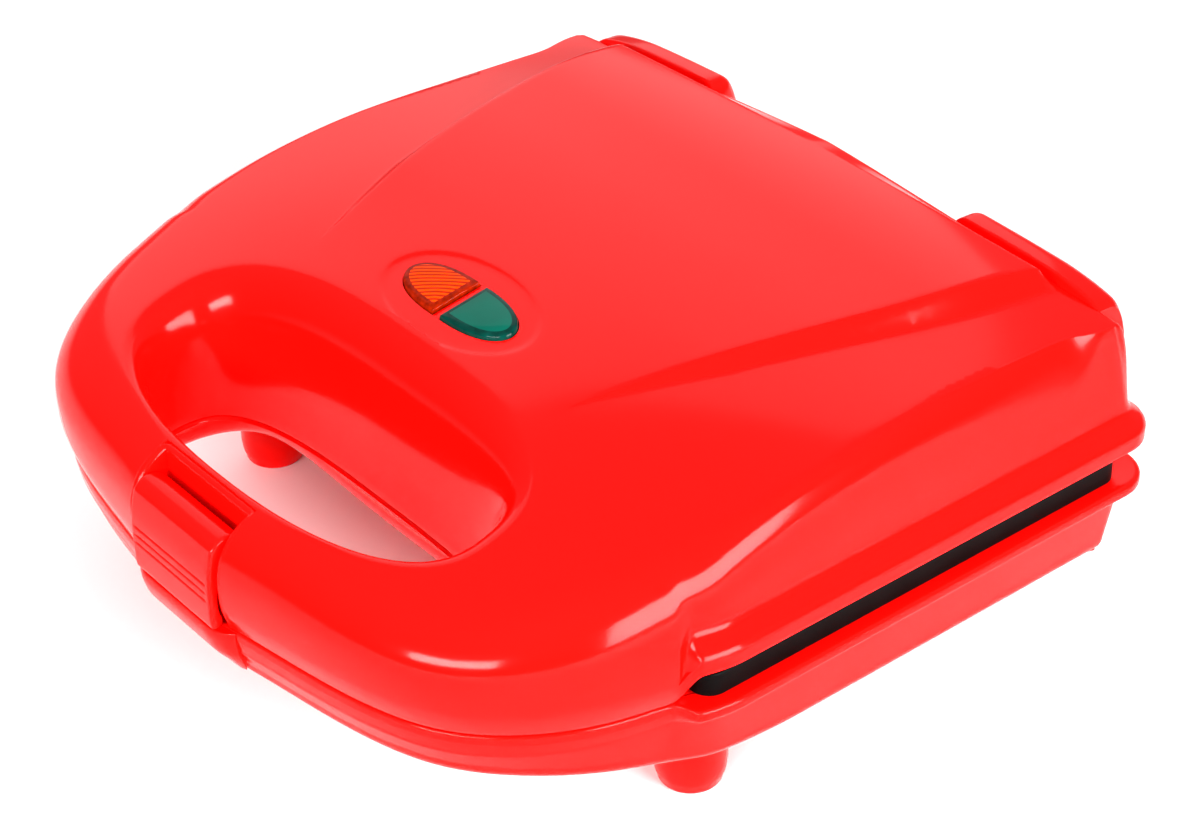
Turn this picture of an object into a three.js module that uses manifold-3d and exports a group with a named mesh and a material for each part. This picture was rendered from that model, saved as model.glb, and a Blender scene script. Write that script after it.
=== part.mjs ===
// Two-slice sandwich maker with a hinged lid, a D-shaped carrying handle and a rocking latch.
// Millimetres, +Z up, +X to the right, the handle towards -Y and the hinge towards +Y.
// The origin is on the table, under the middle of the body.

import * as THREE from "three";
import { mergeVertices } from "three/addons/utils/BufferGeometryUtils.js";
import Module from "manifold-3d";

const wasm = await Module();
wasm.setup();

// Walls and clearances
const wallThickness = 2.4;
const fitGap = 0.3;
const overrun = 6;
const shortOverrun = 1;

// Body, seen from above
const wallHalfWidth = 107;
const frontReach = 106;
const wallRear = 102;
const rearCornerRadius = 6;
const frontOutlineShares = [[0, 1], [0.25, 0.958], [0.545, 0.882], [0.742, 0.765], [0.878, 0.555],
  [0.938, 0.37], [0.975, 0.17], [1, 0]];

// Handle hole: the bar in front of it, the post at each end, and its scoops
const handleBar = 14;
const handlePost = 48;
const holeHalfWidth = wallHalfWidth - handlePost;
const holeHalfDepth = 22;
const holeCentre = handleBar + holeHalfDepth - frontReach;
const holeBow = 4;
const holePower = 2.5;
const holeFlare = 12;
const holeNearFlare = 3;
const holeSideFlare = 9;
const holeFlareDepth = 26;
const holeNearFlareDepth = 5;
const baseHoleLip = 6;
const baseHoleFlare = 16;
const baseHoleSideFlare = 13;
const baseHoleNearFlare = 3.3;
const baseHoleLipGrowth = 3;
const baseHoleSquare = 2.5;

// Plates, seen from above
const plateSetback = 6;
const plateOverhang = 1;
const plateRearSetback = 5;
const plateFront = holeCentre + holeHalfDepth + holeBow + plateSetback;
const plateHalfWidth = wallHalfWidth + plateOverhang;
const plateRear = wallRear - plateRearSetback;
const plateMid = (plateFront + plateRear) / 2;
const outlineRun = 8;
const handleStart = plateFront + outlineRun;
const flangeSetback = 1;
const flangeRun = 6;

// Heights, stacked from the table
const floorHeight = 17.5;
const baseDepth = 24.9;
const partingHeight = floorHeight + baseDepth;
const partingGap = 0.3;
const plateBand = 9.8;
const lidSideEdge = partingHeight + plateBand;
const upperBand = 3.4;
const plateSeam = lidSideEdge - upperBand;
const sideSkirt = 10.3;
const lidWallStart = lidSideEdge + sideSkirt;
const frontSkirt = 12.6;
const lidFrontWallStart = partingHeight + frontSkirt;
const lidRise = 32.5;
const lidTop = lidWallStart + lidRise;

// Lid
const crestStart = 40;
const crestEnd = 60;
const frontFall = 24;
const rearFall = 5;
const wingDrop = 11.6;
const wingHeight = lidTop - wingDrop;
const wingSwell = 3.6;
const wingEdgeSetback = 9;
const wingEdge = wallHalfWidth - wingEdgeSetback;
const panelCrown = 1.3;
const flangeReach = 5;
const flangeHeight = 4;
const shoulderReach = 8;
const frontShoulderReach = 11;
const cornerShoulderReach = 15;
const rearShoulderReach = 5;
const frontBulge = 2.4;
const shoulderPower = 0.78;
const creaseWidth = 4;
const creaseBow = 6;
const creaseBowPower = 1.4;
const creaseTipInset = 58;
const creaseTipSetback = 8;
const creaseRearInset = 28;
const creaseRearSetback = 5;
const creaseTip = [wallHalfWidth - creaseTipInset, plateFront + creaseTipSetback];
const creaseRear = [wallHalfWidth - creaseRearInset, wallRear - creaseRearSetback];
const panelCentreShare = 0.535;

// Base
const floorRise = 11.5;
const floorEdgeRise = 10.5;
const floorFlat = 33;
const floorRamp = 60;
const floorRiseStart = plateFront + floorFlat;
const floorRiseEnd = floorRiseStart - floorRamp;
const floorCentreSetback = 40;
const baseFlangeHeight = 4.2;
const baseFrontTuck = 0.6;
const baseDraft = 2.4;
const baseEdgeRadius = 4;

// Plates
const plateCorner = 5;
const plateGap = 0.3;
const plateSkin = 3;
const rimWall = 3;
const pocketDepth = 9;
const pocketMargin = 9;
const pocketBar = 9;
const pocketDraft = 6;
const pocketWall = 2;
const pocketCorner = 7;
const ridgeHalf = 2.6;

// Inner covers
const frameThickness = 2.6;
const frameInset = 3;
const frameSink = 0.6;
const frameLift = 0.4;
const windowClear = 0.5;
const notchClear = 1;

// Hinge
const hingeSetback = 2;
const hingeY = wallRear + hingeSetback;
const hingeRise = 3.8;
const hingeZ = lidSideEdge + hingeRise;
const hingePinRadius = 2.2;
const hingePinPlay = 0.3;
const hingeEndWall = 1.2;
const hingeCoverInset = 12;
const hingeCoverWidth = 50;
const hingeCoverEnd = wallHalfWidth - hingeCoverInset;
const hingeCoverStart = hingeCoverEnd - hingeCoverWidth;
const hingeCoverDepth = 9;
const hingeCoverLift = 1.5;
const hingeCoverFoot = lidWallStart + hingeCoverLift;
const hingeCheek = 4;
const hingeCheekLap = 1;
const stopLift = 0.1;
const stopHeight = lidWallStart + stopLift;
const stopLean = 1;
const knuckleRadius = 6.2;
const earRadius = 4.4;
const earGap = 3;
const earRoot = 3;
const earStemShares = [[-0.68, 0], [0.32, 0], [0.727, 1], [-0.955, 1]];

// Latch
const latchInset = 0.2;
const latchFront = latchInset - frontReach - frontBulge;
const latchPinDepth = 6.2;
const latchPinY = latchFront + latchPinDepth;
const latchPinRise = 6.6;
const latchPinZ = lidFrontWallStart + latchPinRise;
const latchPinRadius = 1.6;
const latchPinLap = 1.4;
const latchHalfWidth = 16.6;
const latchGap = 0.5;
const latchBarrel = 5.2;
const latchLift = 0.2;
const latchFoot = partingHeight + latchLift;
const latchWall = 2.6;
const latchHook = 4;
const latchNose = 0.7;
const notchDepth = 12;
const notchRear = latchFront + notchDepth;
const notchRise = 16.4;
const notchTop = latchPinZ + notchRise;
const chinHalfWidth = 20;
const chinProud = 1.8;
const chinRoot = 4;
const chinDepth = 13;
const chinDrop = 0.4;
// Each point of the chin's profile: share of its depth out of the wall, share of its drop
const chinProfileShares = [[0, 0], [0.931, 0], [1, 0.14], [0.793, 0.5], [0.241, 0.85], [0, 1]];
const chinSectionShares = [[-1, 0.4], [-0.86, 0.8], [-0.6, 1], [0.6, 1], [0.86, 0.8], [1, 0.4]];
const toothHalfWidth = 8;
const toothHook = 0.9;
const toothRoot = 3;
const toothHeight = 8;
const toothThickness = 3;
const toothStep = 1.1;
const gripRibs = 3;
const gripPitch = 2.3;
const gripHeight = 0.6;
const gripDepth = 0.5;
const gripFloor = 0.1;
const gripStart = 6.5;
const gripMargin = 1.5;

// Feet
const footRadius = 9;
const footFrontInset = 20;
const footFrontSetback = 14;
const footRearInset = 40;
const footRearSetback = 18;
const footFrontX = wallHalfWidth - footFrontInset;
const footFront = plateFront + footFrontSetback;
const footRearX = wallHalfWidth - footRearInset;
const footRear = wallRear - footRearSetback;
// Each point of a foot's side: share of its radius, share of its height
const footProfileShares = [[0.66, 0], [0.849, 0.0286], [0.911, 0.126], [0.978, 0.251], [1, 0.4]];

// Lenses and lamps
const lensSetback = 15.5;
const lensCentre = [0, plateFront + lensSetback];
const lensHalfWidth = 20;
const lensHalfDepth = 7.2;
const lensSplit = 1.4;
const lensProud = 0.9;
const lensSkirt = 2.2;
const lensLip = 1.6;
// Each ring of a lens's crown: share of its half depth inwards, share of its height down
const lensCrownShares = [[0, 0.89], [0.1, 0.17], [0.42, -0.28]];
const dishHalfWidth = 26;
const dishHalfDepth = 14.5;
const dishDepth = 0.7;
const dishFlareShares = [[0.86, -1], [1, 0], [1.14, 1]];
const lampRadius = 3;
const lampLength = 11;
const boardSize = [54, 16, 1.6];
const boardDrop = 14;
const boardPostInset = 2.8;
const boardPostRadius = 1.9;
const boardPostX = boardSize[0] / 2 - boardPostInset;

// Heaters, reflectors and electrics
const heaterRadius = 3.2;
const heaterInset = 46;
const heaterEndInset = 33.5;
const heaterHalfWidth = plateHalfWidth - heaterInset;
const heaterHalfDepth = plateRear - plateMid - heaterEndInset;
const heaterClear = 0.3;
const sheetThickness = 0.8;
const reflectorInset = 20;
const reflectorEndInset = 11.5;
const reflectorHalfWidth = plateHalfWidth - reflectorInset;
const reflectorHalfDepth = plateRear - plateMid - reflectorEndInset;
const postRadius = 2.6;
const postInset = 26;
const postSpread = 22;
const thermostatRadius = 8;
const thermostatHeight = 7;
const electricsOffset = 2.5;
const thermostatPlace = [24, plateMid + electricsOffset];
const fuseRadius = 2.4;
const fuseLength = 26;
const fusePlace = [-26, plateMid + electricsOffset];
const terminalSize = [34, 13, 9];
const terminalSetback = 20;
const terminalY = wallRear - terminalSetback;
const bushingRadius = 5;
const bushingRise = 11.5;
const bushingZ = floorHeight + bushingRise;
const bushingLength = 10;
const bushingProud = 1;
const bushingFlange = 2;
const bushingWall = 1.7;
const bossRadius = 4.2;
const screwRadius = 1.5;
const screwHeadRadius = 3.2;
const screwHeadHeight = 1.5;
const screwLength = 9;
const screwTipClear = 1.5;
const screwFrontClear = 19;
const screwFrontShift = 4;
const screwRearX = 36;
const screwRearSetback = 7;
const screwFrontX = holeHalfWidth + screwFrontClear;
const screwFront = holeCentre + screwFrontShift;
const screwRear = wallRear - screwRearSetback;

const hingePlaces = { left: -1, right: 1 };

// Materials
function finish(color, roughness, metalness) {
  return new THREE.MeshStandardMaterial({ color, roughness, metalness });
}
const redShell = finish(0xf0140c, 0.16, 0);
const blackCoating = finish(0x17181a, 0.45, 0.1);
const innerCover = finish(0xd8120c, 0.4, 0);
const steel = finish(0xb9bcc0, 0.3, 0.9);
const aluminium = finish(0xc9cbce, 0.45, 0.85);
const heaterSheath = finish(0x6d6a66, 0.5, 0.7);
const orangeLens = finish(0xff5a08, 0.15, 0);
const greenLens = finish(0x0c6a58, 0.15, 0);
const lampGlass = finish(0xf3ece0, 0.1, 0);
const boardBrown = finish(0x9a6a3a, 0.7, 0);
const darkPlastic = finish(0x222222, 0.6, 0);
const ceramic = finish(0xe8e2d6, 0.7, 0);

// Solids
function solid(geometry) {
  const bare = geometry.clone();
  bare.deleteAttribute("normal");
  bare.deleteAttribute("uv");
  const merged = mergeVertices(bare, 1e-5);
  const vertProperties = new Float32Array(merged.attributes.position.array);
  const triVerts = new Uint32Array(merged.index.array);
  return new wasm.Manifold(new wasm.Mesh({ numProp: 3, vertProperties, triVerts }));
}

function geometryOf(body) {
  const data = body.getMesh();
  const count = data.vertProperties.length / data.numProp;
  const places = new Float32Array(count * 3);
  for (let i = 0; i < count; i += 1) {
    for (let axis = 0; axis < 3; axis += 1) {
      places[i * 3 + axis] = data.vertProperties[i * data.numProp + axis];
    }
  }
  const geometry = new THREE.BufferGeometry();
  geometry.setAttribute("position", new THREE.BufferAttribute(places, 3));
  geometry.setIndex(new THREE.BufferAttribute(new Uint32Array(data.triVerts), 1));
  geometry.computeVertexNormals();
  return geometry;
}

// A closed body through rings of equal count, each end closed by a fan to its middle.
function ringGeometry(rings) {
  const count = rings[0].length;
  const places = rings.flat(2);
  const index = [];
  for (let level = 0; level + 1 < rings.length; level += 1) {
    for (let i = 0; i < count; i += 1) {
      const next = (i + 1) % count;
      const a = level * count + i;
      const b = level * count + next;
      index.push(a, b, b + count, a, b + count, a + count);
    }
  }
  const ends = [[0, rings[0], true], [(rings.length - 1) * count, rings[rings.length - 1], false]];
  for (const [start, ring, turned] of ends) {
    const middle = places.length / 3;
    for (let axis = 0; axis < 3; axis += 1) {
      places.push(ring.reduce((sum, point) => sum + point[axis], 0) / count);
    }
    for (let i = 0; i < count; i += 1) {
      const next = (i + 1) % count;
      index.push(middle, start + (turned ? next : i), start + (turned ? i : next));
    }
  }
  const geometry = new THREE.BufferGeometry();
  geometry.setAttribute("position", new THREE.Float32BufferAttribute(places, 3));
  geometry.setIndex(index);
  geometry.computeVertexNormals();
  return geometry;
}

// Rings may be given in either order: the body with the wrong sense has a negative volume.
function ringSolid(rings) {
  const body = solid(ringGeometry(rings));
  return body.volume() > 0 ? body : solid(ringGeometry(rings.slice().reverse()));
}

function box(low, high) {
  const geometry = new THREE.BoxGeometry(high[0] - low[0], high[1] - low[1], high[2] - low[2]);
  geometry.translate((low[0] + high[0]) / 2, (low[1] + high[1]) / 2, (low[2] + high[2]) / 2);
  return solid(geometry);
}

function upright(radius, low, high, x, y, sides = 16) {
  const geometry = new THREE.CylinderGeometry(radius, radius, high - low, sides);
  geometry.rotateX(Math.PI / 2);
  geometry.translate(x, y, (low + high) / 2);
  return solid(geometry);
}

function crossRod(radius, low, high, y, z, sides = 16) {
  const geometry = new THREE.CylinderGeometry(radius, radius, high - low, sides);
  geometry.rotateZ(Math.PI / 2);
  geometry.translate((low + high) / 2, y, z);
  return solid(geometry);
}

// A profile of [y, z] points drawn out along X.
const alongX = new THREE.Matrix4().set(0, 0, 1, 0, 1, 0, 0, 0, 0, 1, 0, 0, 0, 0, 0, 1);
function crossBar(profile, low, high) {
  const shape = new THREE.Shape(profile.map(([y, z]) => new THREE.Vector2(y, z)));
  const geometry = new THREE.ExtrudeGeometry(shape, { depth: high - low, bevelEnabled: false });
  geometry.translate(0, 0, low);
  geometry.applyMatrix4(alongX);
  return solid(geometry);
}

// Plan outlines
function smooth(value, low, high) {
  return THREE.MathUtils.smoothstep(value, low, high);
}

function mix(a, b, share) {
  return a + (b - a) * share;
}

// The stations go round the body from the middle of the front, anticlockwise from above.
const handleSteps = 10;
const postSteps = 3;
const sideSteps = 5;
const cornerSteps = 2;
const rearSteps = 3;
const flangeFull = plateFront - flangeSetback;
const flangeStart = flangeFull - flangeRun;
const frontCurve = new THREE.SplineCurve(frontOutlineShares.map(([across, along]) => new THREE.Vector2(
  across * wallHalfWidth, handleStart - along * (frontReach + handleStart))));

function curveShareAt(y) {
  let low = 0;
  let high = 1;
  for (let i = 0; i < 30; i += 1) {
    const middle = (low + high) / 2;
    if (frontCurve.getPointAt(middle).y < y) {
      low = middle;
    } else {
      high = middle;
    }
  }
  return low;
}

const postStart = curveShareAt(flangeStart);
const postEnd = curveShareAt(flangeFull);
const halfStations = [];
for (let i = 0; i < handleSteps; i += 1) {
  halfStations.push({ part: "front", share: postStart * i / handleSteps });
}
for (let i = 0; i <= postSteps; i += 1) {
  halfStations.push({ part: "front", share: mix(postStart, postEnd, i / postSteps) });
}
for (let i = 0; i < sideSteps; i += 1) {
  halfStations.push({ part: "side", share: i / sideSteps });
}
for (let i = 0; i < cornerSteps; i += 1) {
  halfStations.push({ part: "corner", share: i / cornerSteps });
}
for (let i = 0; i <= rearSteps; i += 1) {
  halfStations.push({ part: "rear", share: i / rearSteps });
}

const sideEnd = wallRear - rearCornerRadius;

function wallPoint({ part, share }) {
  if (part === "front") {
    const point = frontCurve.getPointAt(share);
    return [point.x, point.y];
  }
  if (part === "side") {
    return [wallHalfWidth, mix(handleStart, sideEnd, share)];
  }
  const turn = share * Math.PI / 2;
  if (part === "corner") {
    return [wallHalfWidth - rearCornerRadius * (1 - Math.cos(turn)), sideEnd + rearCornerRadius * Math.sin(turn)];
  }
  return [(wallHalfWidth - rearCornerRadius) * (1 - share), wallRear];
}

// The edge of the raised panel, matched station by station to the wall.
function creaseX(y) {
  const share = THREE.MathUtils.clamp((y - creaseTip[1]) / (creaseRear[1] - creaseTip[1]), 0, 1);
  return mix(creaseTip[0], creaseRear[0], share) + creaseBow * 4 * share ** creaseBowPower * (1 - share);
}

function creasePoint({ part, share }) {
  if (part === "front") {
    const x = creaseTip[0] * Math.sin(share * Math.PI / 2);
    const bow = 1 - (x / creaseTip[0]) ** 2;
    return [x, creaseTip[1] - creaseBow * bow];
  }
  if (part === "side") {
    const y = mix(creaseTip[1], creaseRear[1] - creaseWidth, share);
    return [creaseX(y), y];
  }
  if (part === "corner") {
    return [creaseX(creaseRear[1]) - creaseWidth * share, mix(creaseRear[1] - creaseWidth, creaseRear[1], share)];
  }
  return [(creaseX(creaseRear[1]) - creaseWidth) * (1 - share), creaseRear[1]];
}

function wholeRing(pointAt) {
  const right = halfStations.map(pointAt);
  const left = right.slice(1, -1).reverse().map(([x, y]) => [-x, y]);
  return right.concat(left);
}

// Inner walls skip every second station of the curved front.
const ringCount = halfStations.length * 2 - 2;
function plain(ring) {
  return ring.filter((point, i) => {
    const half = Math.min(i, ringCount - i);
    return half > handleSteps || half % 2 === 0;
  });
}

function outwardNormals(ring) {
  return ring.map((point, i) => {
    const before = ring[(i + ring.length - 1) % ring.length];
    const after = ring[(i + 1) % ring.length];
    const normal = new THREE.Vector2(after[1] - before[1], before[0] - after[0]).normalize();
    return [normal.x, normal.y];
  });
}

const wallRing = wholeRing(wallPoint);
const wallNormals = outwardNormals(wallRing);
const creaseRing = wholeRing(creasePoint);
const panelCentre = [0, mix(creaseTip[1], creaseRear[1], panelCentreShare)];

// How far each station belongs to the sides and the rear, where the flange runs, and not to the handle.
const flangeShare = wallRing.map(([, y]) => smooth(y, flangeStart, flangeFull));
const rearShare = wallRing.map(([x, y]) => smooth(y, sideEnd, sideEnd + rearCornerRadius * 0.83)
  * smooth(wallHalfWidth - Math.abs(x), 0, rearCornerRadius));

function offsetRing(distance) {
  return wallRing.map(([x, y], i) => {
    const reach = typeof distance === "function" ? distance(i) : distance;
    return [x + wallNormals[i][0] * reach, y + wallNormals[i][1] * reach];
  });
}

// Lid top
function ridgeHeight(y) {
  const fall = frontFall * (Math.max(0, crestStart - y) / (crestStart + frontReach - shoulderReach)) ** 2;
  const drop = rearFall * (Math.max(0, y - crestEnd) / (wallRear - crestEnd)) ** 2;
  const along = THREE.MathUtils.clamp((y + frontReach) / (wallRear + frontReach), 0, 1);
  return { middle: lidTop - fall - drop, wing: wingHeight - fall + wingSwell * Math.sin(along * Math.PI) };
}

// How far back along the crease the wings have bent and the panel has risen to its full height
const wingRunShare = 0.6;
const panelRunShare = 0.3;
function riseShare(y, runShare) {
  return smooth(y, creaseTip[1] - creaseWidth, mix(creaseTip[1], creaseRear[1], runShare));
}

function wingSurface(x, y) {
  const { middle, wing } = ridgeHeight(y);
  const power = 2.2 - riseShare(y, wingRunShare);
  return middle - (middle - wing) * (Math.abs(x) / wingEdge) ** power;
}

function panelSurface(x, y) {
  const { middle } = ridgeHeight(y);
  const crown = panelCrown * (x / creaseRear[0]) ** 2;
  return mix(wingSurface(x, y), middle - crown, riseShare(y, panelRunShare));
}

// The shoulder between the wall and the top: round in front, a straight leaning wall with an edge behind.
const shoulderSteps = 5;
const shoulderReachAt = wallRing.map(([x, y], i) => {
  const front = mix(frontShoulderReach, cornerShoulderReach, smooth(Math.abs(x), 0, wallHalfWidth * 0.8));
  const side = mix(cornerShoulderReach, shoulderReach, smooth(y, -frontReach * 0.6, 0));
  const ahead = y < -frontReach * 0.5 ? front : side;
  return mix(ahead, rearShoulderReach, rearShare[i]);
});
const edgeShare = wallRing.map(([, y], i) => 0.85 * smooth(y, 0, sideEnd) * (1 - rearShare[i]));

// Bulge of the wall, the height where the shoulder starts, and the shoulder's run inwards and upwards
function wallOffset(i) {
  return mix(frontBulge, 0, flangeShare[i]);
}

function shoulderStart(i) {
  return mix(lidFrontWallStart, lidWallStart, flangeShare[i]);
}

function shoulderInward(turn, share, i) {
  return mix(1 - Math.cos(turn) ** shoulderPower, share, edgeShare[i]);
}

function shoulderRise(turn, share, i) {
  return mix(Math.sin(turn) ** shoulderPower, share, edgeShare[i]);
}

function lidRings() {
  const rings = [];
  const place = (ring, heightAt) => rings.push(ring.map(([x, y], i) => [x, y, heightAt(x, y, i)]));
  const skirt = [
    [flangeReach * 0.8, 0, 0, 0],
    [flangeReach, frontBulge * 0.3, 1 / 4, 1 / 8],
    [flangeReach, frontBulge * 0.7, 1, 1 / 3],
    [flangeReach * 0.7, frontBulge * 0.9, 1.5, 1 / 2],
    [flangeReach * 0.25, frontBulge, 2, 3 / 4],
  ];
  const frontEdge = partingHeight + partingGap;
  for (const [side, front, sideRise, frontRise] of skirt) {
    place(offsetRing((i) => mix(front, side, flangeShare[i])), (x, y, i) => mix(
      mix(frontEdge, lidFrontWallStart, frontRise), lidSideEdge + flangeHeight * sideRise, flangeShare[i]));
  }
  for (let step = 0; step <= shoulderSteps; step += 1) {
    const share = step / shoulderSteps;
    const turn = share * Math.PI / 2;
    place(offsetRing((i) => wallOffset(i) - shoulderReachAt[i] * shoulderInward(turn, share, i)), (x, y, i) => mix(
      shoulderStart(i), wingSurface(x, y), shoulderRise(turn, share, i)));
  }
  const edge = offsetRing((i) => wallOffset(i) - shoulderReachAt[i]);
  const lower = creaseRing.map(([x, y], i) => {
    const side = smooth(y, creaseTip[1], creaseTip[1] + creaseWidth * 4)
      * (1 - smooth(y, creaseRear[1] - creaseWidth, creaseRear[1]));
    return [x + Math.sign(x) * creaseWidth * side, y, i];
  });
  for (const share of [0.3, 0.65]) {
    place(edge.map(([x, y], i) => [mix(x, lower[i][0], share), mix(y, lower[i][1], share)]), wingSurface);
  }
  place(lower, wingSurface);
  place(creaseRing, panelSurface);
  place(creaseRing.map(([x, y]) => [mix(panelCentre[0], x, 0.5), mix(panelCentre[1], y, 0.5)]), panelSurface);
  return rings;
}

// The hole that the hand goes through. A ring grows by its own reach at the far side, the near side and the ends.
const holeCount = 26;
function holeRing(reach, heightAt) {
  const ring = [];
  for (let i = 0; i < holeCount; i += 1) {
    const turn = i / holeCount * Math.PI * 2;
    const power = holePower + (reach.square ?? 0);
    const across = Math.sign(Math.cos(turn)) * Math.abs(Math.cos(turn)) ** (2 / power);
    const along = Math.sign(Math.sin(turn)) * Math.abs(Math.sin(turn)) ** (2 / power);
    const far = (1 + Math.sin(turn)) / 2;
    const x = (holeHalfWidth + reach.side) * across;
    const y = holeCentre + (holeHalfDepth + (along > 0 ? reach.far : reach.near)) * along + holeBow * across ** 2;
    ring.push([x, y, heightAt(x, y, far)]);
  }
  return ring;
}

const plainHole = { side: 0, far: 0, near: 0 };
function grown(hole, by) {
  return { ...hole, side: hole.side + by, far: hole.far + by, near: hole.near + by };
}

// The lid's hole opens upwards in a scoop, deep at the far side and tight at the near one.
function lidHoleRings(by, steps) {
  const rings = [];
  for (let step = 0; step <= steps; step += 1) {
    const turn = step / steps * Math.PI / 2;
    const share = 1 - Math.cos(turn);
    const hole = { side: holeSideFlare * share, far: holeFlare * share, near: holeNearFlare * share };
    rings.push(holeRing(grown(hole, by), (x, y, far) => wingSurface(x, y)
      - mix(holeNearFlareDepth, holeFlareDepth, far) * (1 - Math.sin(turn))));
  }
  const open = { side: holeSideFlare, far: holeFlare, near: holeNearFlare };
  rings.push(holeRing(grown(open, by + fitGap), (x, y) => wingSurface(x, y) + overrun));
  return rings;
}

function lidHole(by, steps) {
  const start = holeRing(grown(plainHole, by), () => partingHeight - overrun * 2);
  const parting = holeRing(grown(plainHole, by), () => partingHeight + partingGap);
  return ringSolid([start, parting, ...lidHoleRings(by, steps)]);
}

// The base's hole has a short leaning lip, grows squarer and then opens downwards in a scoop of its own.
function baseHole(by) {
  const steps = 5;
  const lip = partingHeight - baseHoleLip;
  const low = floorHeight + floorRise * 0.3;
  const holeAt = (share) => ({
    side: mix(baseHoleLipGrowth * 2, baseHoleSideFlare, share),
    far: mix(baseHoleLipGrowth, baseHoleFlare, share),
    near: baseHoleNearFlare * share,
    square: baseHoleSquare,
  });
  const rings = [holeRing(grown(holeAt(1), by + fitGap), () => floorHeight - overrun)];
  for (let step = steps; step >= 0; step -= 1) {
    const turn = step / steps * Math.PI / 2;
    const share = 1 - Math.cos(turn);
    rings.push(holeRing(grown(holeAt(share), by), () => mix(lip, low, Math.sin(turn)) + (by > 0 ? by * share : 0)));
  }
  rings.push(holeRing(grown(plainHole, by), () => partingHeight - fitGap));
  rings.push(holeRing(grown(plainHole, by), () => partingHeight + overrun * 2));
  return ringSolid(rings);
}

function holeColumn(by, lean, low, high) {
  const hole = { side: lean * 2, far: lean, near: 0, square: lean > 0 ? baseHoleSquare : 0 };
  return ringSolid([holeRing(grown(hole, by), () => low), holeRing(grown(hole, by), () => high)]);
}

// The space inside the lid
function lidCavity() {
  const rings = [];
  const place = (ring, heightAt) => rings.push(plain(ring.map(([x, y], i) => [x, y, heightAt(x, y, i)])));
  place(offsetRing(-wallThickness), () => partingHeight - overrun);
  place(offsetRing(-wallThickness), (x, y, i) => mix(partingHeight, shoulderStart(i), 0.5));
  for (const share of [0, 0.5, 1]) {
    const turn = share * Math.PI / 2;
    place(offsetRing((i) => wallOffset(i) - wallThickness - shoulderReachAt[i] * shoulderInward(turn, share, i)),
      (x, y, i) => mix(shoulderStart(i), wingSurface(x, y) - wallThickness, shoulderRise(turn, share, i)));
  }
  const edge = offsetRing((i) => wallOffset(i) - wallThickness - shoulderReachAt[i]);
  for (const share of [0.45, 0.85]) {
    place(edge.map(([x, y], i) => [mix(x, creaseRing[i][0], share), mix(y, creaseRing[i][1], share)]),
      (x, y) => wingSurface(x, y) - wallThickness);
  }
  for (const share of [0.85, 0.4]) {
    place(creaseRing.map(([x, y]) => [mix(panelCentre[0], x, share), mix(panelCentre[1], y, share)]),
      (x, y) => panelSurface(x, y) - wallThickness);
  }
  return ringSolid(rings);
}

const lowerPocketEnd = plateSeam - pocketDepth - pocketWall;
const upperPocketEnd = plateSeam + plateGap + pocketDepth + pocketWall;
const lowerHeaterZ = lowerPocketEnd - heaterRadius - heaterClear;
const upperHeaterZ = upperPocketEnd + heaterRadius + heaterClear;
const lowerReflectorLow = lowerHeaterZ - heaterRadius - sheetThickness - fitGap;
const upperReflectorTop = upperHeaterZ + heaterRadius + sheetThickness + fitGap;
const postX = reflectorHalfWidth - postInset;
const postPlaces = [[-postX, plateMid - postSpread], [postX, plateMid - postSpread],
  [-postX, plateMid + postSpread], [postX, plateMid + postSpread]];

// Hinge covers on the lid, with a cheek at each end that holds the pin
const coverRise = ridgeHeight(wallRear).middle - hingeCoverFoot;
// Each section of a cover: share of its width, share of its depth, share of its rise that it drops
const coverSectionShares = [[0, 0.6, 0.154], [0.03, 0.85, 0.062], [0.1, 1, 0], [0.66, 1, 0.054], [0.95, 0.98, 0.169],
  [1, 0.88, 0.231]];
// Each point of a section: share of the depth out of the wall, share of the rise
const coverProfileShares = [[-0.533, 0.692], [-0.333, 0.969], [0.111, 0.962], [0.422, 0.908], [0.711, 0.731],
  [0.933, 0.423], [1, 0.192], [0.911, 0], [-0.533, 0]];
const coverHollowShares = [[1, 0.323], [0.711, 0.731], [-0.111, 0.846], [-0.378, 0.731]];
const coverRootShare = -0.444;

function coverSpan(side) {
  return side > 0 ? [hingeCoverStart, hingeCoverEnd] : [-hingeCoverEnd, -hingeCoverStart];
}

function hingeCover(side) {
  const [low, high] = coverSpan(side);
  const sections = coverSectionShares.map(([across, reach, drop]) => {
    const x = side * (hingeCoverStart + hingeCoverWidth * across);
    return coverProfileShares.map(([out, up]) => {
      const share = out > coverRootShare ? mix(coverRootShare, out, reach) : out;
      return [x, wallRear + hingeCoverDepth * share, hingeCoverFoot + coverRise * up * (1 - drop)];
    });
  });
  let cover = ringSolid(sections);
  const wallInside = wallRear - wallThickness;
  const coverRear = wallRear + hingeCoverDepth * coverProfileShares[7][0];
  const top = hingeCoverFoot + hingeCheekLap;
  for (const [from, to] of [[low, low + hingeCheek], [high - hingeCheek, high]]) {
    const cheek = crossBar(
      [[wallInside, hingeZ], [hingeY + knuckleRadius, hingeZ], [coverRear, top], [wallInside, top]],
      from, to);
    cover = cover.add(cheek).add(crossRod(knuckleRadius, from, to, hingeY, hingeZ));
  }
  return cover;
}

function hingeCoverHollow(side) {
  const [low, high] = coverSpan(side);
  const reach = wallRear + hingeCoverDepth;
  const start = wallRear + hingeCoverDepth * coverHollowShares[3][0];
  const bottom = lidSideEdge - overrun;
  const profile = [[start, bottom], [reach + overrun, bottom], [reach + overrun, stopHeight],
    [reach - wallThickness, stopHeight + stopLean]];
  for (const [out, up] of coverHollowShares) {
    profile.push([wallRear + hingeCoverDepth * out - (out > 0 ? wallThickness : 0),
      hingeCoverFoot + coverRise * up - wallThickness]);
  }
  return crossBar(profile, low + hingeCheek, high - hingeCheek);
}

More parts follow.
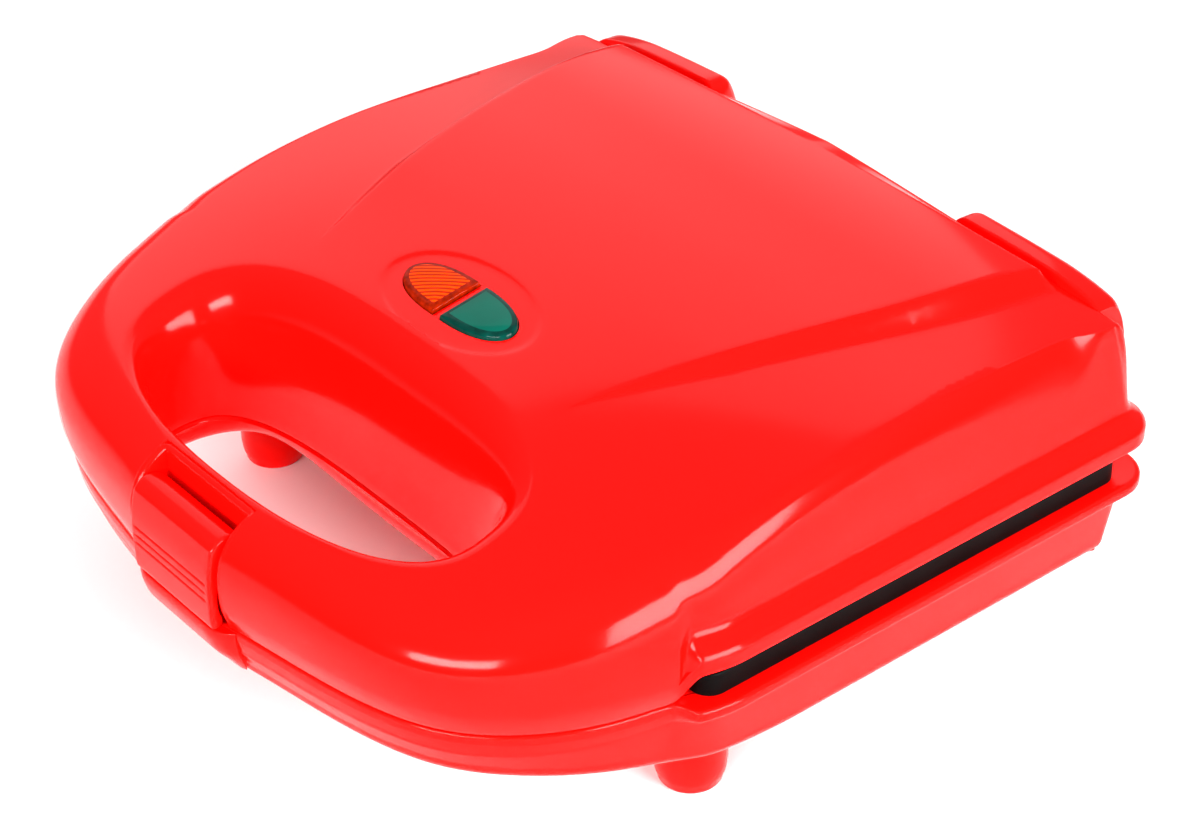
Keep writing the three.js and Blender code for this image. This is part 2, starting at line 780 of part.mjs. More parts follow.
// Latch notch in the lid's front edge, and the block that walls it off inside
const notchHalfWidth = latchHalfWidth + latchGap;
function latchNotch() {
  const low = partingHeight - overrun;
  const front = latchFront - overrun;
  return crossBar([[front, low], [notchRear, low], [notchRear, notchTop], [front, notchTop]],
    -notchHalfWidth, notchHalfWidth);
}

function latchBlock() {
  const half = notchHalfWidth + wallThickness;
  const rear = notchRear + wallThickness / 2;
  return box([-half, latchFront, partingHeight - overrun], [half, rear, notchTop + overrun]);
}

// Indicator windows
function lensOutline(grow, side, heightAt) {
  const steps = 12;
  const ring = [];
  const inner = lensSplit - grow;
  for (let i = 0; i <= steps; i += 1) {
    const turn = mix(-Math.PI / 2, Math.PI / 2, i / steps);
    const x = inner + (lensHalfWidth + grow - inner) * Math.cos(turn) ** 0.8;
    const y = lensCentre[1] + (lensHalfDepth + grow) * Math.sin(turn);
    ring.push([side * x, y, heightAt(x, y)]);
  }
  return side > 0 ? ring : ring.reverse();
}

function lensColumn(grow, side, low, high) {
  return ringSolid([lensOutline(grow, side, low), lensOutline(grow, side, high)]);
}

function dishCutter() {
  const ring = (scale, lift) => {
    const points = [];
    for (let i = 0; i < holeCount; i += 1) {
      const turn = i / holeCount * Math.PI * 2;
      const x = dishHalfWidth * scale * Math.cos(turn);
      const y = lensCentre[1] + dishHalfDepth * scale * Math.sin(turn);
      points.push([x, y, panelSurface(x, y) + lift]);
    }
    return points;
  };
  return ringSolid(dishFlareShares.map(([scale, lift]) => ring(scale, lift * dishDepth)));
}

const boardTop = panelSurface(0, lensCentre[1]) - boardDrop;

function makeUpperHousing() {
  let shell = ringSolid(lidRings());
  for (const side of Object.values(hingePlaces)) {
    shell = shell.add(hingeCover(side));
  }
  const cavity = lidCavity().subtract(lidHole(wallThickness, 3)).subtract(latchBlock());
  shell = shell.subtract(cavity).subtract(lidHole(0, 5)).subtract(latchNotch()).subtract(dishCutter());
  for (const side of Object.values(hingePlaces)) {
    const [low, high] = coverSpan(side);
    shell = shell.subtract(hingeCoverHollow(side));
    const bore = crossRod(hingePinRadius + fitGap, low + hingeEndWall, high - hingeEndWall, hingeY, hingeZ);
    shell = shell.subtract(bore);
    shell = shell.subtract(lensColumn(fitGap, side, () => lidTop - boardDrop, () => lidTop + overrun));
  }
  const pinHole = notchHalfWidth + latchPinLap + fitGap;
  shell = shell.subtract(crossRod(latchPinRadius + fitGap, -pinHole, pinHole, latchPinY, latchPinZ, 14));
  for (const [x, y] of screwPlaces) {
    const top = wingSurface(Math.abs(x) + bossRadius, y - bossRadius) - wallThickness / 2;
    const low = y < plateFront ? handleCoverTop + fitGap : upperFrameTop + fitGap;
    shell = shell.add(upright(bossRadius, low, top, x, y, 12));
    shell = shell.subtract(upright(screwRadius + fitGap, low - shortOverrun, low + screwLength, x, y, 10));
  }
  for (const [x, y] of postPlaces) {
    const top = panelSurface(x, y) - wallThickness / 2;
    shell = shell.add(upright(postRadius, upperReflectorTop + fitGap, top, x, y, 8));
  }
  for (const side of Object.values(hingePlaces)) {
    const x = side * boardPostX;
    const top = wingSurface(x, lensCentre[1]) - wallThickness / 2;
    shell = shell.add(upright(boardPostRadius, boardTop + fitGap, top, x, lensCentre[1], 8));
  }
  return shell;
}

// Inner covers
const upperFrameLow = lidSideEdge + frameLift;
const upperFrameTop = upperFrameLow + frameThickness;
const handleCoverLow = partingHeight + partingGap + frameSink;
const handleCoverTop = handleCoverLow + frameThickness;
const lowerFrameTop = partingHeight - frameSink;
const lowerFrameLow = lowerFrameTop - frameThickness;
const screwPlaces = [[-screwFrontX, screwFront], [screwFrontX, screwFront],
  [-screwRearX, screwRear], [screwRearX, screwRear]];

function frameSlab(low, high) {
  const ring = plain(offsetRing(-frameInset));
  return ringSolid([ring.map(([x, y]) => [x, y, low]), ring.map(([x, y]) => [x, y, high])]);
}

function pocketWindow(low, high) {
  const grow = pocketMargin - pocketWall - windowClear;
  return box([-plateHalfWidth + grow, plateFront + grow, low], [plateHalfWidth - grow, plateRear - grow, high]);
}

// Plates: a rim with a skirt, and two pockets each crossed by a ridge from corner to corner
const pocketHalf = (plateHalfWidth - pocketMargin - pocketBar / 2) / 2;
const pocketCentre = pocketBar / 2 + pocketHalf;

function trianglePocket(corners, grow, depth, seam, direction) {
  const ring = (inset, z) => {
    const points = [];
    corners.forEach(([x, y], i) => {
      const before = corners[(i + 2) % 3];
      const after = corners[(i + 1) % 3];
      const toBefore = new THREE.Vector2(before[0] - x, before[1] - y).normalize();
      const toAfter = new THREE.Vector2(after[0] - x, after[1] - y).normalize();
      const half = Math.acos(THREE.MathUtils.clamp(toBefore.dot(toAfter), -1, 1)) / 2;
      const inward = toBefore.clone().add(toAfter).normalize();
      const reach = (inset - grow) / Math.sin(half);
      const apex = [x + inward.x * reach, y + inward.y * reach];
      const run = pocketCorner / Math.tan(half);
      const start = [apex[0] + toBefore.x * run, apex[1] + toBefore.y * run];
      const end = [apex[0] + toAfter.x * run, apex[1] + toAfter.y * run];
      const curve = new THREE.QuadraticBezierCurve(new THREE.Vector2(...start), new THREE.Vector2(...apex),
        new THREE.Vector2(...end));
      for (const point of curve.getPoints(2)) {
        points.push([point.x, point.y, z]);
      }
    });
    return points;
  };
  const levels = [[0, -1], [0, 0], [pocketDraft * 0.7, 0.75], [pocketDraft, 0.95],
    [pocketDraft * 1.33, 1]];
  return ringSolid(levels.map(([inset, share]) => {
    const drop = share * (share < 0 ? overrun : depth);
    return ring(inset, seam - direction * drop);
  }));
}

function pocketCorners() {
  const list = [];
  const low = plateFront + pocketMargin;
  const high = plateRear - pocketMargin;
  for (const side of [-1, 1]) {
    const near = side * (pocketCentre - pocketHalf);
    const far = side * (pocketCentre + pocketHalf);
    const left = Math.min(near, far);
    const right = Math.max(near, far);
    const slide = ridgeHalf * 2;
    list.push([[left, low], [right, low], [left, high - slide]]);
    list.push([[right, low + slide], [right, high], [left, high]]);
  }
  return list;
}

function roundedSlab(low, high, inset = 0) {
  const shape = new THREE.Shape();
  const halfWidth = plateHalfWidth - inset;
  const radius = plateCorner;
  const front = plateFront + inset;
  const rear = plateRear - inset;
  shape.moveTo(-halfWidth + radius, front);
  shape.lineTo(halfWidth - radius, front);
  shape.absarc(halfWidth - radius, front + radius, radius, -Math.PI / 2, 0, false);
  shape.lineTo(halfWidth, rear - radius);
  shape.absarc(halfWidth - radius, rear - radius, radius, 0, Math.PI / 2, false);
  shape.lineTo(-halfWidth + radius, rear);
  shape.absarc(-halfWidth + radius, rear - radius, radius, Math.PI / 2, Math.PI, false);
  shape.lineTo(-halfWidth, front + radius);
  shape.absarc(-halfWidth + radius, front + radius, radius, Math.PI, Math.PI * 1.5, false);
  const geometry = new THREE.ExtrudeGeometry(shape, { depth: high - low, bevelEnabled: false, curveSegments: 4 });
  geometry.translate(0, 0, low);
  return solid(geometry);
}

// direction 1 is the lower plate, whose pockets go down, and -1 the upper one
function makePlate(direction, seam, rimEnd) {
  const low = Math.min(seam, rimEnd);
  const high = Math.max(seam, rimEnd);
  const skinEdge = seam - direction * Math.min(plateSkin, Math.abs(seam - rimEnd));
  let plate = roundedSlab(low, high);
  if (Math.abs(skinEdge - rimEnd) > fitGap) {
    const from = Math.min(skinEdge, rimEnd - direction * overrun);
    const to = Math.max(skinEdge, rimEnd - direction * overrun);
    plate = plate.subtract(roundedSlab(from, to, rimWall));
  }
  for (const corners of pocketCorners()) {
    const outer = trianglePocket(corners, pocketWall, pocketDepth + pocketWall, seam, direction);
    const keep = box([-plateHalfWidth, plateFront, Math.min(seam, seam - direction * (pocketDepth + overrun))],
      [plateHalfWidth, plateRear, Math.max(seam, seam - direction * (pocketDepth + overrun))]);
    plate = plate.add(outer.intersect(keep));
  }
  for (const corners of pocketCorners()) {
    plate = plate.subtract(trianglePocket(corners, 0, pocketDepth, seam, direction));
  }
  return plate;
}

const lowerSeam = plateSeam;
const upperSeam = plateSeam + plateGap;
const lowerRimEnd = partingHeight + partingGap;
const upperRimEnd = lidSideEdge - partingGap;

// Heaters: a tube bent into a flat U, with its two cold ends at the back
function makeHeater(z) {
  const path = new THREE.CurvePath();
  const y0 = plateMid - heaterHalfDepth;
  const y1 = plateMid + heaterHalfDepth;
  const bend = heaterHalfDepth * 0.45;
  const corner = (x, y) => new THREE.Vector3(x, y, z);
  const w = heaterHalfWidth;
  path.add(new THREE.LineCurve3(corner(-w, y1 + bend * 0.8), corner(-w, y0 + bend)));
  path.add(new THREE.QuadraticBezierCurve3(corner(-w, y0 + bend), corner(-w, y0), corner(-w + bend, y0)));
  path.add(new THREE.LineCurve3(corner(-w + bend, y0), corner(w - bend, y0)));
  path.add(new THREE.QuadraticBezierCurve3(corner(w - bend, y0), corner(w, y0), corner(w, y0 + bend)));
  path.add(new THREE.LineCurve3(corner(w, y0 + bend), corner(w, y1 + bend * 0.8)));
  const section = new THREE.Shape();
  section.absarc(0, 0, heaterRadius, 0, Math.PI * 2, false);
  const along = { steps: 18, extrudePath: path, curveSegments: 4, bevelEnabled: false };
  return solid(new THREE.ExtrudeGeometry(section, along));
}

// Reflector: a shallow tray, open towards the heater
const reflectorDepth = 2 * heaterRadius + heaterClear + sheetThickness - fitGap;
function makeReflector(base, direction) {
  const ring = (inset, z) => [[-reflectorHalfWidth + inset, plateMid - reflectorHalfDepth + inset, z],
    [reflectorHalfWidth - inset, plateMid - reflectorHalfDepth + inset, z],
    [reflectorHalfWidth - inset, plateMid + reflectorHalfDepth - inset, z],
    [-reflectorHalfWidth + inset, plateMid + reflectorHalfDepth - inset, z]];
  const lean = reflectorDepth * 0.4;
  const far = base + direction * reflectorDepth;
  const outer = [ring(lean, base), ring(0, far)];
  const inner = [ring(lean + sheetThickness, base + direction * sheetThickness),
    ring(sheetThickness, far + direction * sheetThickness)];
  return ringSolid(outer).subtract(ringSolid(inner));
}

// Base
function floorAt(y) {
  return floorHeight + floorRise * smooth(-y, -floorRiseStart, -floorRiseEnd);
}

function floorEdgeAt(y) {
  return floorHeight + floorEdgeRise * smooth(-y, -floorRiseStart, frontReach - handleBar);
}

function makeBaseBody(shrink, top, floorLift) {
  const rings = [];
  const edge = baseEdgeRadius;
  const inward = baseDraft + shrink;
  const floorCentre = wallRear - floorCentreSetback;
  const place = (ring, heightAt) => {
    const placed = ring.map(([x, y], i) => [x, y, heightAt(x, y, i)]);
    rings.push(shrink > 0 ? plain(placed) : placed);
  };
  for (const share of [0.35, 0.78]) {
    place(offsetRing(-inward - edge).map(([x, y]) => [x * share, mix(floorCentre, y, share)]),
      (x, y) => floorAt(y) + floorLift);
  }
  for (const share of shrink > 0 ? [0, 0.7, 1] : [0, 0.35, 0.7, 1]) {
    const turn = share * Math.PI / 2;
    place(offsetRing(-inward - edge * (1 - Math.sin(turn))),
      (x, y, i) => floorEdgeAt(wallRing[i][1]) + floorLift + edge * (1 - Math.cos(turn)));
  }
  const flangeLow = top - baseFlangeHeight;
  const band = (side, front, share) => place(offsetRing((i) => mix(front, side, flangeShare[i]) - shrink),
    () => mix(flangeLow, top, share));
  if (shrink > 0) {
    place(offsetRing(-shrink), () => flangeLow - shortOverrun);
    place(offsetRing(-shrink), () => top + overrun);
    return ringSolid(rings);
  }
  band(0, -baseFrontTuck, -0.35);
  band(flangeReach * 0.55, -baseFrontTuck / 2, 0);
  band(flangeReach * 0.95, 0, 0.3);
  band(flangeReach, 0, 0.7);
  band(flangeReach * 0.8, -baseFrontTuck / 2, 1);
  return ringSolid(rings);
}

function makeChin() {
  const root = chinRoot - frontReach;
  const section = (x, share) => chinProfileShares.map(([out, drop]) => [x, root - (chinRoot + chinProud) * out * share,
    partingHeight - chinDrop - chinDepth * drop * mix(0.8, 1, share)]);
  return ringSolid(chinSectionShares.map(([across, share]) => section(across * chinHalfWidth, share)));
}

const toothFront = latchFront + latchWall + latchNose + fitGap + toothHook;
const toothRear = toothFront + toothThickness;
// The catch steps over the rim of the base's front wall, and its foot stands between that wall and the frame
function makeCatch() {
  const low = partingHeight - toothRoot;
  const rim = partingHeight + fitGap;
  const top = latchFoot + toothHeight;
  const foot = toothFront + toothStep;
  const nose = toothFront - toothHook;
  return crossBar([[toothFront, rim], [foot, rim], [foot, low], [toothRear, low], [toothRear, top],
    [toothFront + toothThickness * 0.2, top], [nose, top - toothHook * 1.6], [nose, top - toothHook * 2.7],
    [toothFront, top - toothHook * 3.4]], -toothHalfWidth, toothHalfWidth);
}

function makeEar(side) {
  const [low, high] = coverSpan(side);
  const clear = hingeCheek + earGap;
  const root = partingHeight - earRoot;
  const stem = crossBar(earStemShares.map(([out, up]) => [hingeY + earRadius * out, mix(root, hingeZ, up)]),
    low + clear, high - clear);
  return stem.add(crossRod(earRadius, low + clear, high - clear, hingeY, hingeZ))
    .subtract(crossRod(hingePinRadius + fitGap, low, high, hingeY, hingeZ));
}

const footPlaces = { front_left: [-footFrontX, footFront], front_right: [footFrontX, footFront],
  rear_left: [-footRearX, footRear], rear_right: [footRearX, footRear] };
function makeLowerHousing() {
  let shell = makeBaseBody(0, partingHeight, 0).add(makeChin());
  const rooted = makeBaseBody(wallThickness / 2, partingHeight, wallThickness / 2);
  const cavity = makeBaseBody(wallThickness, partingHeight, wallThickness)
    .subtract(baseHole(wallThickness));
  shell = shell.subtract(cavity);
  for (const side of Object.values(hingePlaces)) {
    shell = shell.add(makeEar(side));
  }
  shell = shell.subtract(baseHole(0));
  for (const [x, y] of screwPlaces) {
    shell = shell.add(upright(bossRadius, floorHeight, lowerFrameLow - fitGap, x, y, 12).intersect(rooted));
    const bottom = lowerFrameLow - screwLength;
    shell = shell.subtract(upright(screwRadius + fitGap, bottom, lowerFrameLow + shortOverrun, x, y, 10));
  }
  for (const [x, y] of postPlaces) {
    shell = shell.add(upright(postRadius, floorHeight, lowerReflectorLow - fitGap, x, y, 8).intersect(rooted));
  }
  return shell.subtract(crossHoleThroughRear());
}

// The hole for the mains lead, low in the middle of the rear wall, and its bushing
function alongY(radius, low, high, z, sides = 16) {
  const geometry = new THREE.CylinderGeometry(radius, radius, high - low, sides);
  geometry.translate(0, (low + high) / 2, z);
  return solid(geometry);
}

function crossHoleThroughRear() {
  return alongY(bushingRadius + fitGap, wallRear - overrun * 2, wallRear + overrun, bushingZ);
}

function makeBushing() {
  const rear = wallRear + bushingProud;
  const front = rear - bushingLength;
  return alongY(bushingRadius, front, rear, bushingZ)
    .add(alongY(bushingRadius + bushingFlange, front, front + bushingFlange, bushingZ))
    .subtract(alongY(bushingRadius - bushingWall, front - overrun, rear + overrun, bushingZ));
}

function makeTerminalBlock() {
  const low = floorAt(terminalY) + wallThickness + fitGap;
  const [width, depth, height] = terminalSize;
  let block = box([-width / 2, terminalY - depth / 2, low], [width / 2, terminalY + depth / 2, low + height]);
  for (const place of [-1, 0, 1]) {
    const x = place * width / 3;
    block = block.subtract(upright(screwRadius, low + height / 2, low + height + overrun, x, terminalY, 10));
  }
  return block;
}

// A foot ends just under the housing: flat under the flat floor, and cut to it where the floor rises.
const footSides = 16;
function makeFoot(x, y) {
  const rising = y - footRadius < floorRiseStart;
  const top = rising ? floorHeight + floorRise : floorHeight - fitGap;
  const side = footProfileShares.map(([out, up]) => new THREE.Vector2(footRadius * out, floorHeight * up));
  const profile = [new THREE.Vector2(0, 0), ...side, new THREE.Vector2(footRadius, top), new THREE.Vector2(0, top)];
  const geometry = new THREE.LatheGeometry(profile, footSides);
  geometry.rotateX(Math.PI / 2);
  geometry.translate(x, y, 0);
  return rising ? solid(geometry).subtract(makeBaseBody(-fitGap, partingHeight, -fitGap)) : solid(geometry);
}

// Screw through a frame into a boss. direction 1 drives it up, -1 down
function makeScrew(x, y, face, direction) {
  const tip = face + direction * (frameThickness + screwLength - screwTipClear);
  const headEnd = face + direction * screwHeadHeight;
  const shank = upright(screwRadius, Math.min(face, tip), Math.max(face, tip), x, y, 8);
  return shank.add(upright(screwHeadRadius, Math.min(face, headEnd), Math.max(face, headEnd), x, y, 12));
}

function cutScrewHoles(slab, face, direction, places) {
  let body = slab;
  const outside = face - direction * overrun;
  const inside = face + direction * overrun;
  const seat = face + direction * (screwHeadHeight + fitGap);
  for (const [x, y] of places) {
    const hole = (radius, end, sides) => upright(radius + fitGap, Math.min(outside, end), Math.max(outside, end),
      x, y, sides);
    body = body.subtract(hole(screwRadius, inside, 10)).subtract(hole(screwHeadRadius, seat, 12));
  }
  return body;
}

function makeLowerFrame() {
  const low = lowerFrameLow - shortOverrun;
  const high = lowerFrameTop + shortOverrun;
  let frame = frameSlab(lowerFrameLow, lowerFrameTop);
  frame = frame.subtract(pocketWindow(low, high));
  const lean = baseHoleLipGrowth * (partingHeight - lowerFrameLow) / baseHoleLip;
  frame = frame.subtract(holeColumn(wallThickness + windowClear, lean, low, high));
  const half = toothHalfWidth + fitGap;
  frame = frame.subtract(box([-half, -frontReach, low], [half, toothRear + fitGap, high]));
  return cutScrewHoles(frame, lowerFrameTop, -1, screwPlaces);
}

function makeUpperFrame() {
  const low = upperFrameLow - shortOverrun;
  const high = upperFrameTop + shortOverrun;
  let frame = frameSlab(upperFrameLow, upperFrameTop);
  frame = frame.subtract(box([-wallHalfWidth, -frontReach - overrun, low], [wallHalfWidth, plateFront, high]));
  frame = frame.subtract(pocketWindow(low, high));
  return cutScrewHoles(frame, upperFrameLow, 1, screwPlaces.filter(([, y]) => y > plateFront));
}

function makeHandleCover() {
  const wallBack = plateFront - flangeSetback;
  const low = handleCoverLow - shortOverrun;
  const side = wallHalfWidth + overrun;
  let cover = frameSlab(handleCoverLow, handleCoverTop);
  cover = cover.subtract(box([-side, wallBack, low], [side, wallRear + overrun, handleCoverTop + shortOverrun]));
  const riser = frameSlab(handleCoverLow, upperFrameTop).intersect(
    box([-wallHalfWidth, wallBack - frameThickness, handleCoverLow], [wallHalfWidth, wallBack, upperFrameTop]));
  cover = cover.add(riser);
  cover = cover.subtract(holeColumn(wallThickness + fitGap, 0, low, upperFrameTop + shortOverrun));
  const half = notchHalfWidth + wallThickness + notchClear;
  const high = handleCoverTop + shortOverrun;
  cover = cover.subtract(box([-half, -frontReach, low], [half, notchRear + wallThickness, high]));
  return cutScrewHoles(cover, handleCoverLow, 1, screwPlaces.filter(([, y]) => y < plateFront));
}

function makeLatch() {
  const inner = latchFront + latchWall;
  const barrel = crossRod(latchBarrel, -latchHalfWidth, latchHalfWidth, latchPinY, latchPinZ, 20);
  const profile = [
    [latchPinY - latchBarrel * 0.5, latchPinZ + latchBarrel * 0.86],
    [latchPinY - latchBarrel * 0.86, latchPinZ + latchBarrel * 0.5],
    [latchFront + latchWall * 0.19, latchPinZ - latchBarrel * 0.385], [latchFront, latchPinZ - latchBarrel * 1.15],
    [latchFront, latchFoot + latchHook * 0.25], [latchFront + latchWall * 0.31, latchFoot],
    [inner - latchWall * 0.15, latchFoot], [inner + latchNose, latchFoot + latchHook * 0.3],
    [inner + latchNose, latchFoot + latchHook * 0.75], [inner, latchFoot + latchHook],
    [inner, latchPinZ - latchBarrel * 1.54], [latchPinY - latchBarrel * 0.2, latchPinZ - latchBarrel * 0.9],
    [latchPinY, latchPinZ],
  ];
  let latch = barrel.add(crossBar(profile, -latchHalfWidth, latchHalfWidth));
  for (let i = 0; i < gripRibs; i += 1) {
    const z = latchPinZ - gripStart - i * gripPitch;
    const deep = latchFront + gripDepth;
    latch = latch.subtract(crossBar([[latchFront - gripHeight, z - gripHeight], [deep, z - gripFloor],
      [deep, z + gripFloor], [latchFront - gripHeight, z + gripHeight]],
    gripMargin - latchHalfWidth, latchHalfWidth - gripMargin));
  }
  const cut = latchHalfWidth + overrun;
  return latch.subtract(crossRod(latchPinRadius + fitGap, -cut, cut, latchPinY, latchPinZ, 14));
}

function makeLens(side) {
  const top = (x, y) => panelSurface(x, y) + lensProud;
  const crownAt = (grow, lift) => lensOutline(grow, side, (x, y) => top(x, y) - lift);
  const foot = lensProud + wallThickness + lensSkirt;
  const crown = lensCrownShares.map(([inwards, down]) => crownAt(-lensHalfDepth * inwards, lensProud * down));
  const body = ringSolid([crownAt(0, foot), ...crown]);
  const lip = ringSolid([crownAt(lensLip / 2, foot), crownAt(lensLip / 2, foot - lensSkirt / 2)]);
  return body.add(lip);
}

function makeLampBoard() {
  return box([-boardSize[0] / 2, lensCentre[1] - boardSize[1] / 2, boardTop - boardSize[2]],
    [boardSize[0] / 2, lensCentre[1] + boardSize[1] / 2, boardTop]);
}

function makeLamp(side) {
  const centre = side * lensHalfWidth / 2;
  return crossRod(lampRadius, centre - lampLength / 2, centre + lampLength / 2, lensCentre[1],
    boardTop + lampRadius + fitGap, 14);
}

// The assembly
const machine = new THREE.Group();
machine.name = "sandwich_maker";

function put(name, body, material, parent) {
  const mesh = new THREE.Mesh(geometryOf(body), material);
  mesh.name = name;
  parent.add(mesh);
}

const base = new THREE.Group();
const lid = new THREE.Group();
machine.add(base, lid);

put("lower_housing", makeLowerHousing(), redShell, base);
put("latch_catch", makeCatch(), redShell, base);
put("lower_frame", makeLowerFrame(), innerCover, base);
put("lower_plate", makePlate(1, lowerSeam, lowerRimEnd), blackCoating, base);
put("lower_element", makeHeater(lowerHeaterZ), heaterSheath, base);
put("lower_reflector", makeReflector(lowerReflectorLow, 1), aluminium, base);
put("cord_bushing", makeBushing(), darkPlastic, base);
put("thermostat", upright(thermostatRadius, lowerReflectorLow - fitGap - thermostatHeight, lowerReflectorLow - fitGap,
  ...thermostatPlace, 16), darkPlastic, base);
put("thermal_fuse", crossRod(fuseRadius, fusePlace[0] - fuseLength / 2, fusePlace[0] + fuseLength / 2,
  fusePlace[1], lowerReflectorLow - fitGap - fuseRadius, 12), ceramic, base);
put("terminal_block", makeTerminalBlock(), ceramic, base);
for (const [place, [x, y]] of Object.entries(footPlaces)) {
  put(`${place}_foot`, makeFoot(x, y), redShell, base);
}
screwPlaces.forEach(([x, y], i) => {
  put(`lower_screw_${i + 1}`, makeScrew(x, y, lowerFrameTop, -1), steel, base);
});

put("upper_housing", makeUpperHousing(), redShell, lid);
put("upper_frame", makeUpperFrame(), innerCover, lid);
put("upper_handle_cover", makeHandleCover(), innerCover, lid);
put("upper_plate", makePlate(-1, upperSeam, upperRimEnd), blackCoating, lid);
put("upper_element", makeHeater(upperHeaterZ), heaterSheath, lid);
put("upper_reflector", makeReflector(upperReflectorTop, -1), aluminium, lid);
put("orange_lens", makeLens(-1), orangeLens, lid);
put("green_lens", makeLens(1), greenLens, lid);
put("lamp_board", makeLampBoard(), boardBrown, lid);
put("orange_lamp", makeLamp(-1), lampGlass, lid);
put("green_lamp", makeLamp(1), lampGlass, lid);
put("latch", makeLatch(), redShell, lid);
const pinHalf = notchHalfWidth + latchPinLap;
put("latch_pin", crossRod(latchPinRadius, -pinHalf, pinHalf, latchPinY, latchPinZ, 14), steel, lid);
for (const [name, side] of Object.entries(hingePlaces)) {
  const [low, high] = coverSpan(side);
  const inset = hingeEndWall + hingePinPlay;
  put(`hinge_pin_${name}`, crossRod(hingePinRadius, low + inset, high - inset, hingeY, hingeZ, 14), steel, lid);
}
screwPlaces.forEach(([x, y], i) => {
  put(`upper_screw_${i + 1}`, makeScrew(x, y, y < plateFront ? handleCoverLow : upperFrameLow, 1), steel, lid);
});

// The origin sits under the middle of the whole body, front to back.
const extent = new THREE.Box3().setFromObject(machine);
const middleY = (extent.min.y + extent.max.y) / 2;
base.position.y = -middleY;
lid.position.y = -middleY;

export default machine;
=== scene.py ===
"""A red two-slice sandwich maker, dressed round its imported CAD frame.

Lengths in the code are millimetres, and the settings are in metres, as Blender's are.
"""

import math

import bmesh
import bpy
import numpy as np
from mathutils import Matrix, Vector
from mathutils.geometry import delaunay_2d_cdt


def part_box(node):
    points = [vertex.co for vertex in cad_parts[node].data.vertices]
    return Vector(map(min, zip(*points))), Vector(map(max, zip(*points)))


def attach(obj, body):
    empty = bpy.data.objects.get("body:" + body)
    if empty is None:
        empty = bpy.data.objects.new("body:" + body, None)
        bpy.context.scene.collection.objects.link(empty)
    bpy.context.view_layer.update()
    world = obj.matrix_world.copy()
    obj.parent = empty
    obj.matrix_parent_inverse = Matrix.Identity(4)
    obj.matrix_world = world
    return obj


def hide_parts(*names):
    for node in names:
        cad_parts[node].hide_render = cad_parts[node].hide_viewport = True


bl_info = {
    "name": "Sandwich maker",
    "version": (1, 0, 0),
    "blender": (4, 5, 0),
    "location": "View3D > Sidebar > Sandwich maker",
    "description": "Makes the visible pieces of a hinged sandwich maker on its frame",
    "category": "Add Mesh",
}

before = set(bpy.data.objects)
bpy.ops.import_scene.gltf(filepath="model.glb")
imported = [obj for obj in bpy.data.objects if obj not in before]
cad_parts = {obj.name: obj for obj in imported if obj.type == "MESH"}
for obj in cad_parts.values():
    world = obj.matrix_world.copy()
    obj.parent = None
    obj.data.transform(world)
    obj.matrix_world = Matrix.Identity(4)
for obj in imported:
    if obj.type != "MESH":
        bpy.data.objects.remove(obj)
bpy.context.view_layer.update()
MM = 0.001

# Body, seen from above, as in the part's source
WALL_HALF_WIDTH = 107.0
FRONT_REACH = 106.0
HANDLE_START = 30.0
WALL_REAR = 102.0
REAR_CORNER = 6.0
PARTING = 42.4
PARTING_GAP = 0.3
WALL = 2.4
FIT_GAP = 0.3
FRONT_OUTLINE_SHARES = [(0, 1), (0.25, 0.958), (0.545, 0.882), (0.742, 0.765), (0.878, 0.555),
                        (0.938, 0.37), (0.975, 0.17), (1, 0)]

# Lid
LID_SIDE_EDGE = 52.2
LID_WALL_START = 62.5
LID_FRONT_WALL_START = 55.0
LID_TOP = 95.0
CREST = (40.0, 60.0)
FRONT_FALL = 24.0
REAR_FALL = 5.0
WING_HEIGHT = 83.4
WING_SWELL = 3.6
WING_EDGE = 98.0
PANEL_CROWN = 1.3
SHOULDER_REACH = 8.0
FRONT_SHOULDER = 11.0
CORNER_SHOULDER = 15.0
REAR_SHOULDER = 5.0
CORNER_RUN = 18.0
FRONT_BULGE = 2.4
SHOULDER_POWER = 0.78
SHOULDER_EDGE = 0.85
SHOULDER_EASE = 1.25
WING_POWER = 2.2
CREASE_WIDTH = 4.0
CREASE_TIP = (49.0, -30.0)
CREASE_REAR = (79.0, 97.0)
CREASE_BOW = 6.0
CREASE_BOW_POWER = 1.4
WING_RUN_SHARE = 0.6
PANEL_RUN_SHARE = 0.3
WIDTH_RUN_SHARE = 0.28
CREASE_ROUND = 0.35

# Base
FLOOR = 17.5
FLOOR_RISE = 11.5
FLOOR_EDGE_RISE = 10.5
FLOOR_RISE_Y = (5.0, 65.0)
BASE_DRAFT = 2.4
BASE_EDGE_RADIUS = 4.0

# Hand hole
HOLE_HALF_WIDTH = 59.0
HOLE_HALF_DEPTH = 22.0
HOLE_CENTRE = -70.0
HOLE_BOW = 4.0
HOLE_POWER = 2.5
HOLE_FLARE = {"side": 9.0, "far": 12.0, "near": 3.0}
HOLE_DEPTH = {"near": 5.0, "far": 26.0}
# The rounded edge of the hole at the parting, as how far it is grown and how far it stands back
LID_HOLE_EDGE = ((0.9, 0), (0.25, 0.2))
BASE_HOLE_EDGE = ((0.9, 0), (0.25, 0.25))
HOLE_EDGE_HEIGHT = 0.9
BASE_HOLE_FLARE = {"side": 13.0, "far": 16.0, "near": 3.3}
BASE_HOLE_LIP = 6.0
BASE_HOLE_LIP_GROWTH = 3.0
BASE_HOLE_SQUARE = 2.5

# Plates
PLATE_HALF_WIDTH = 108.0
PLATE_FRONT = -38.0
PLATE_REAR = 97.0

# The side flange runs out before the plates' front edge, between these two distances,
# and the outline's points are closer together from the third one on
FLANGE_RUN = (7.0, 1.0)
FLANGE_END = 9.0

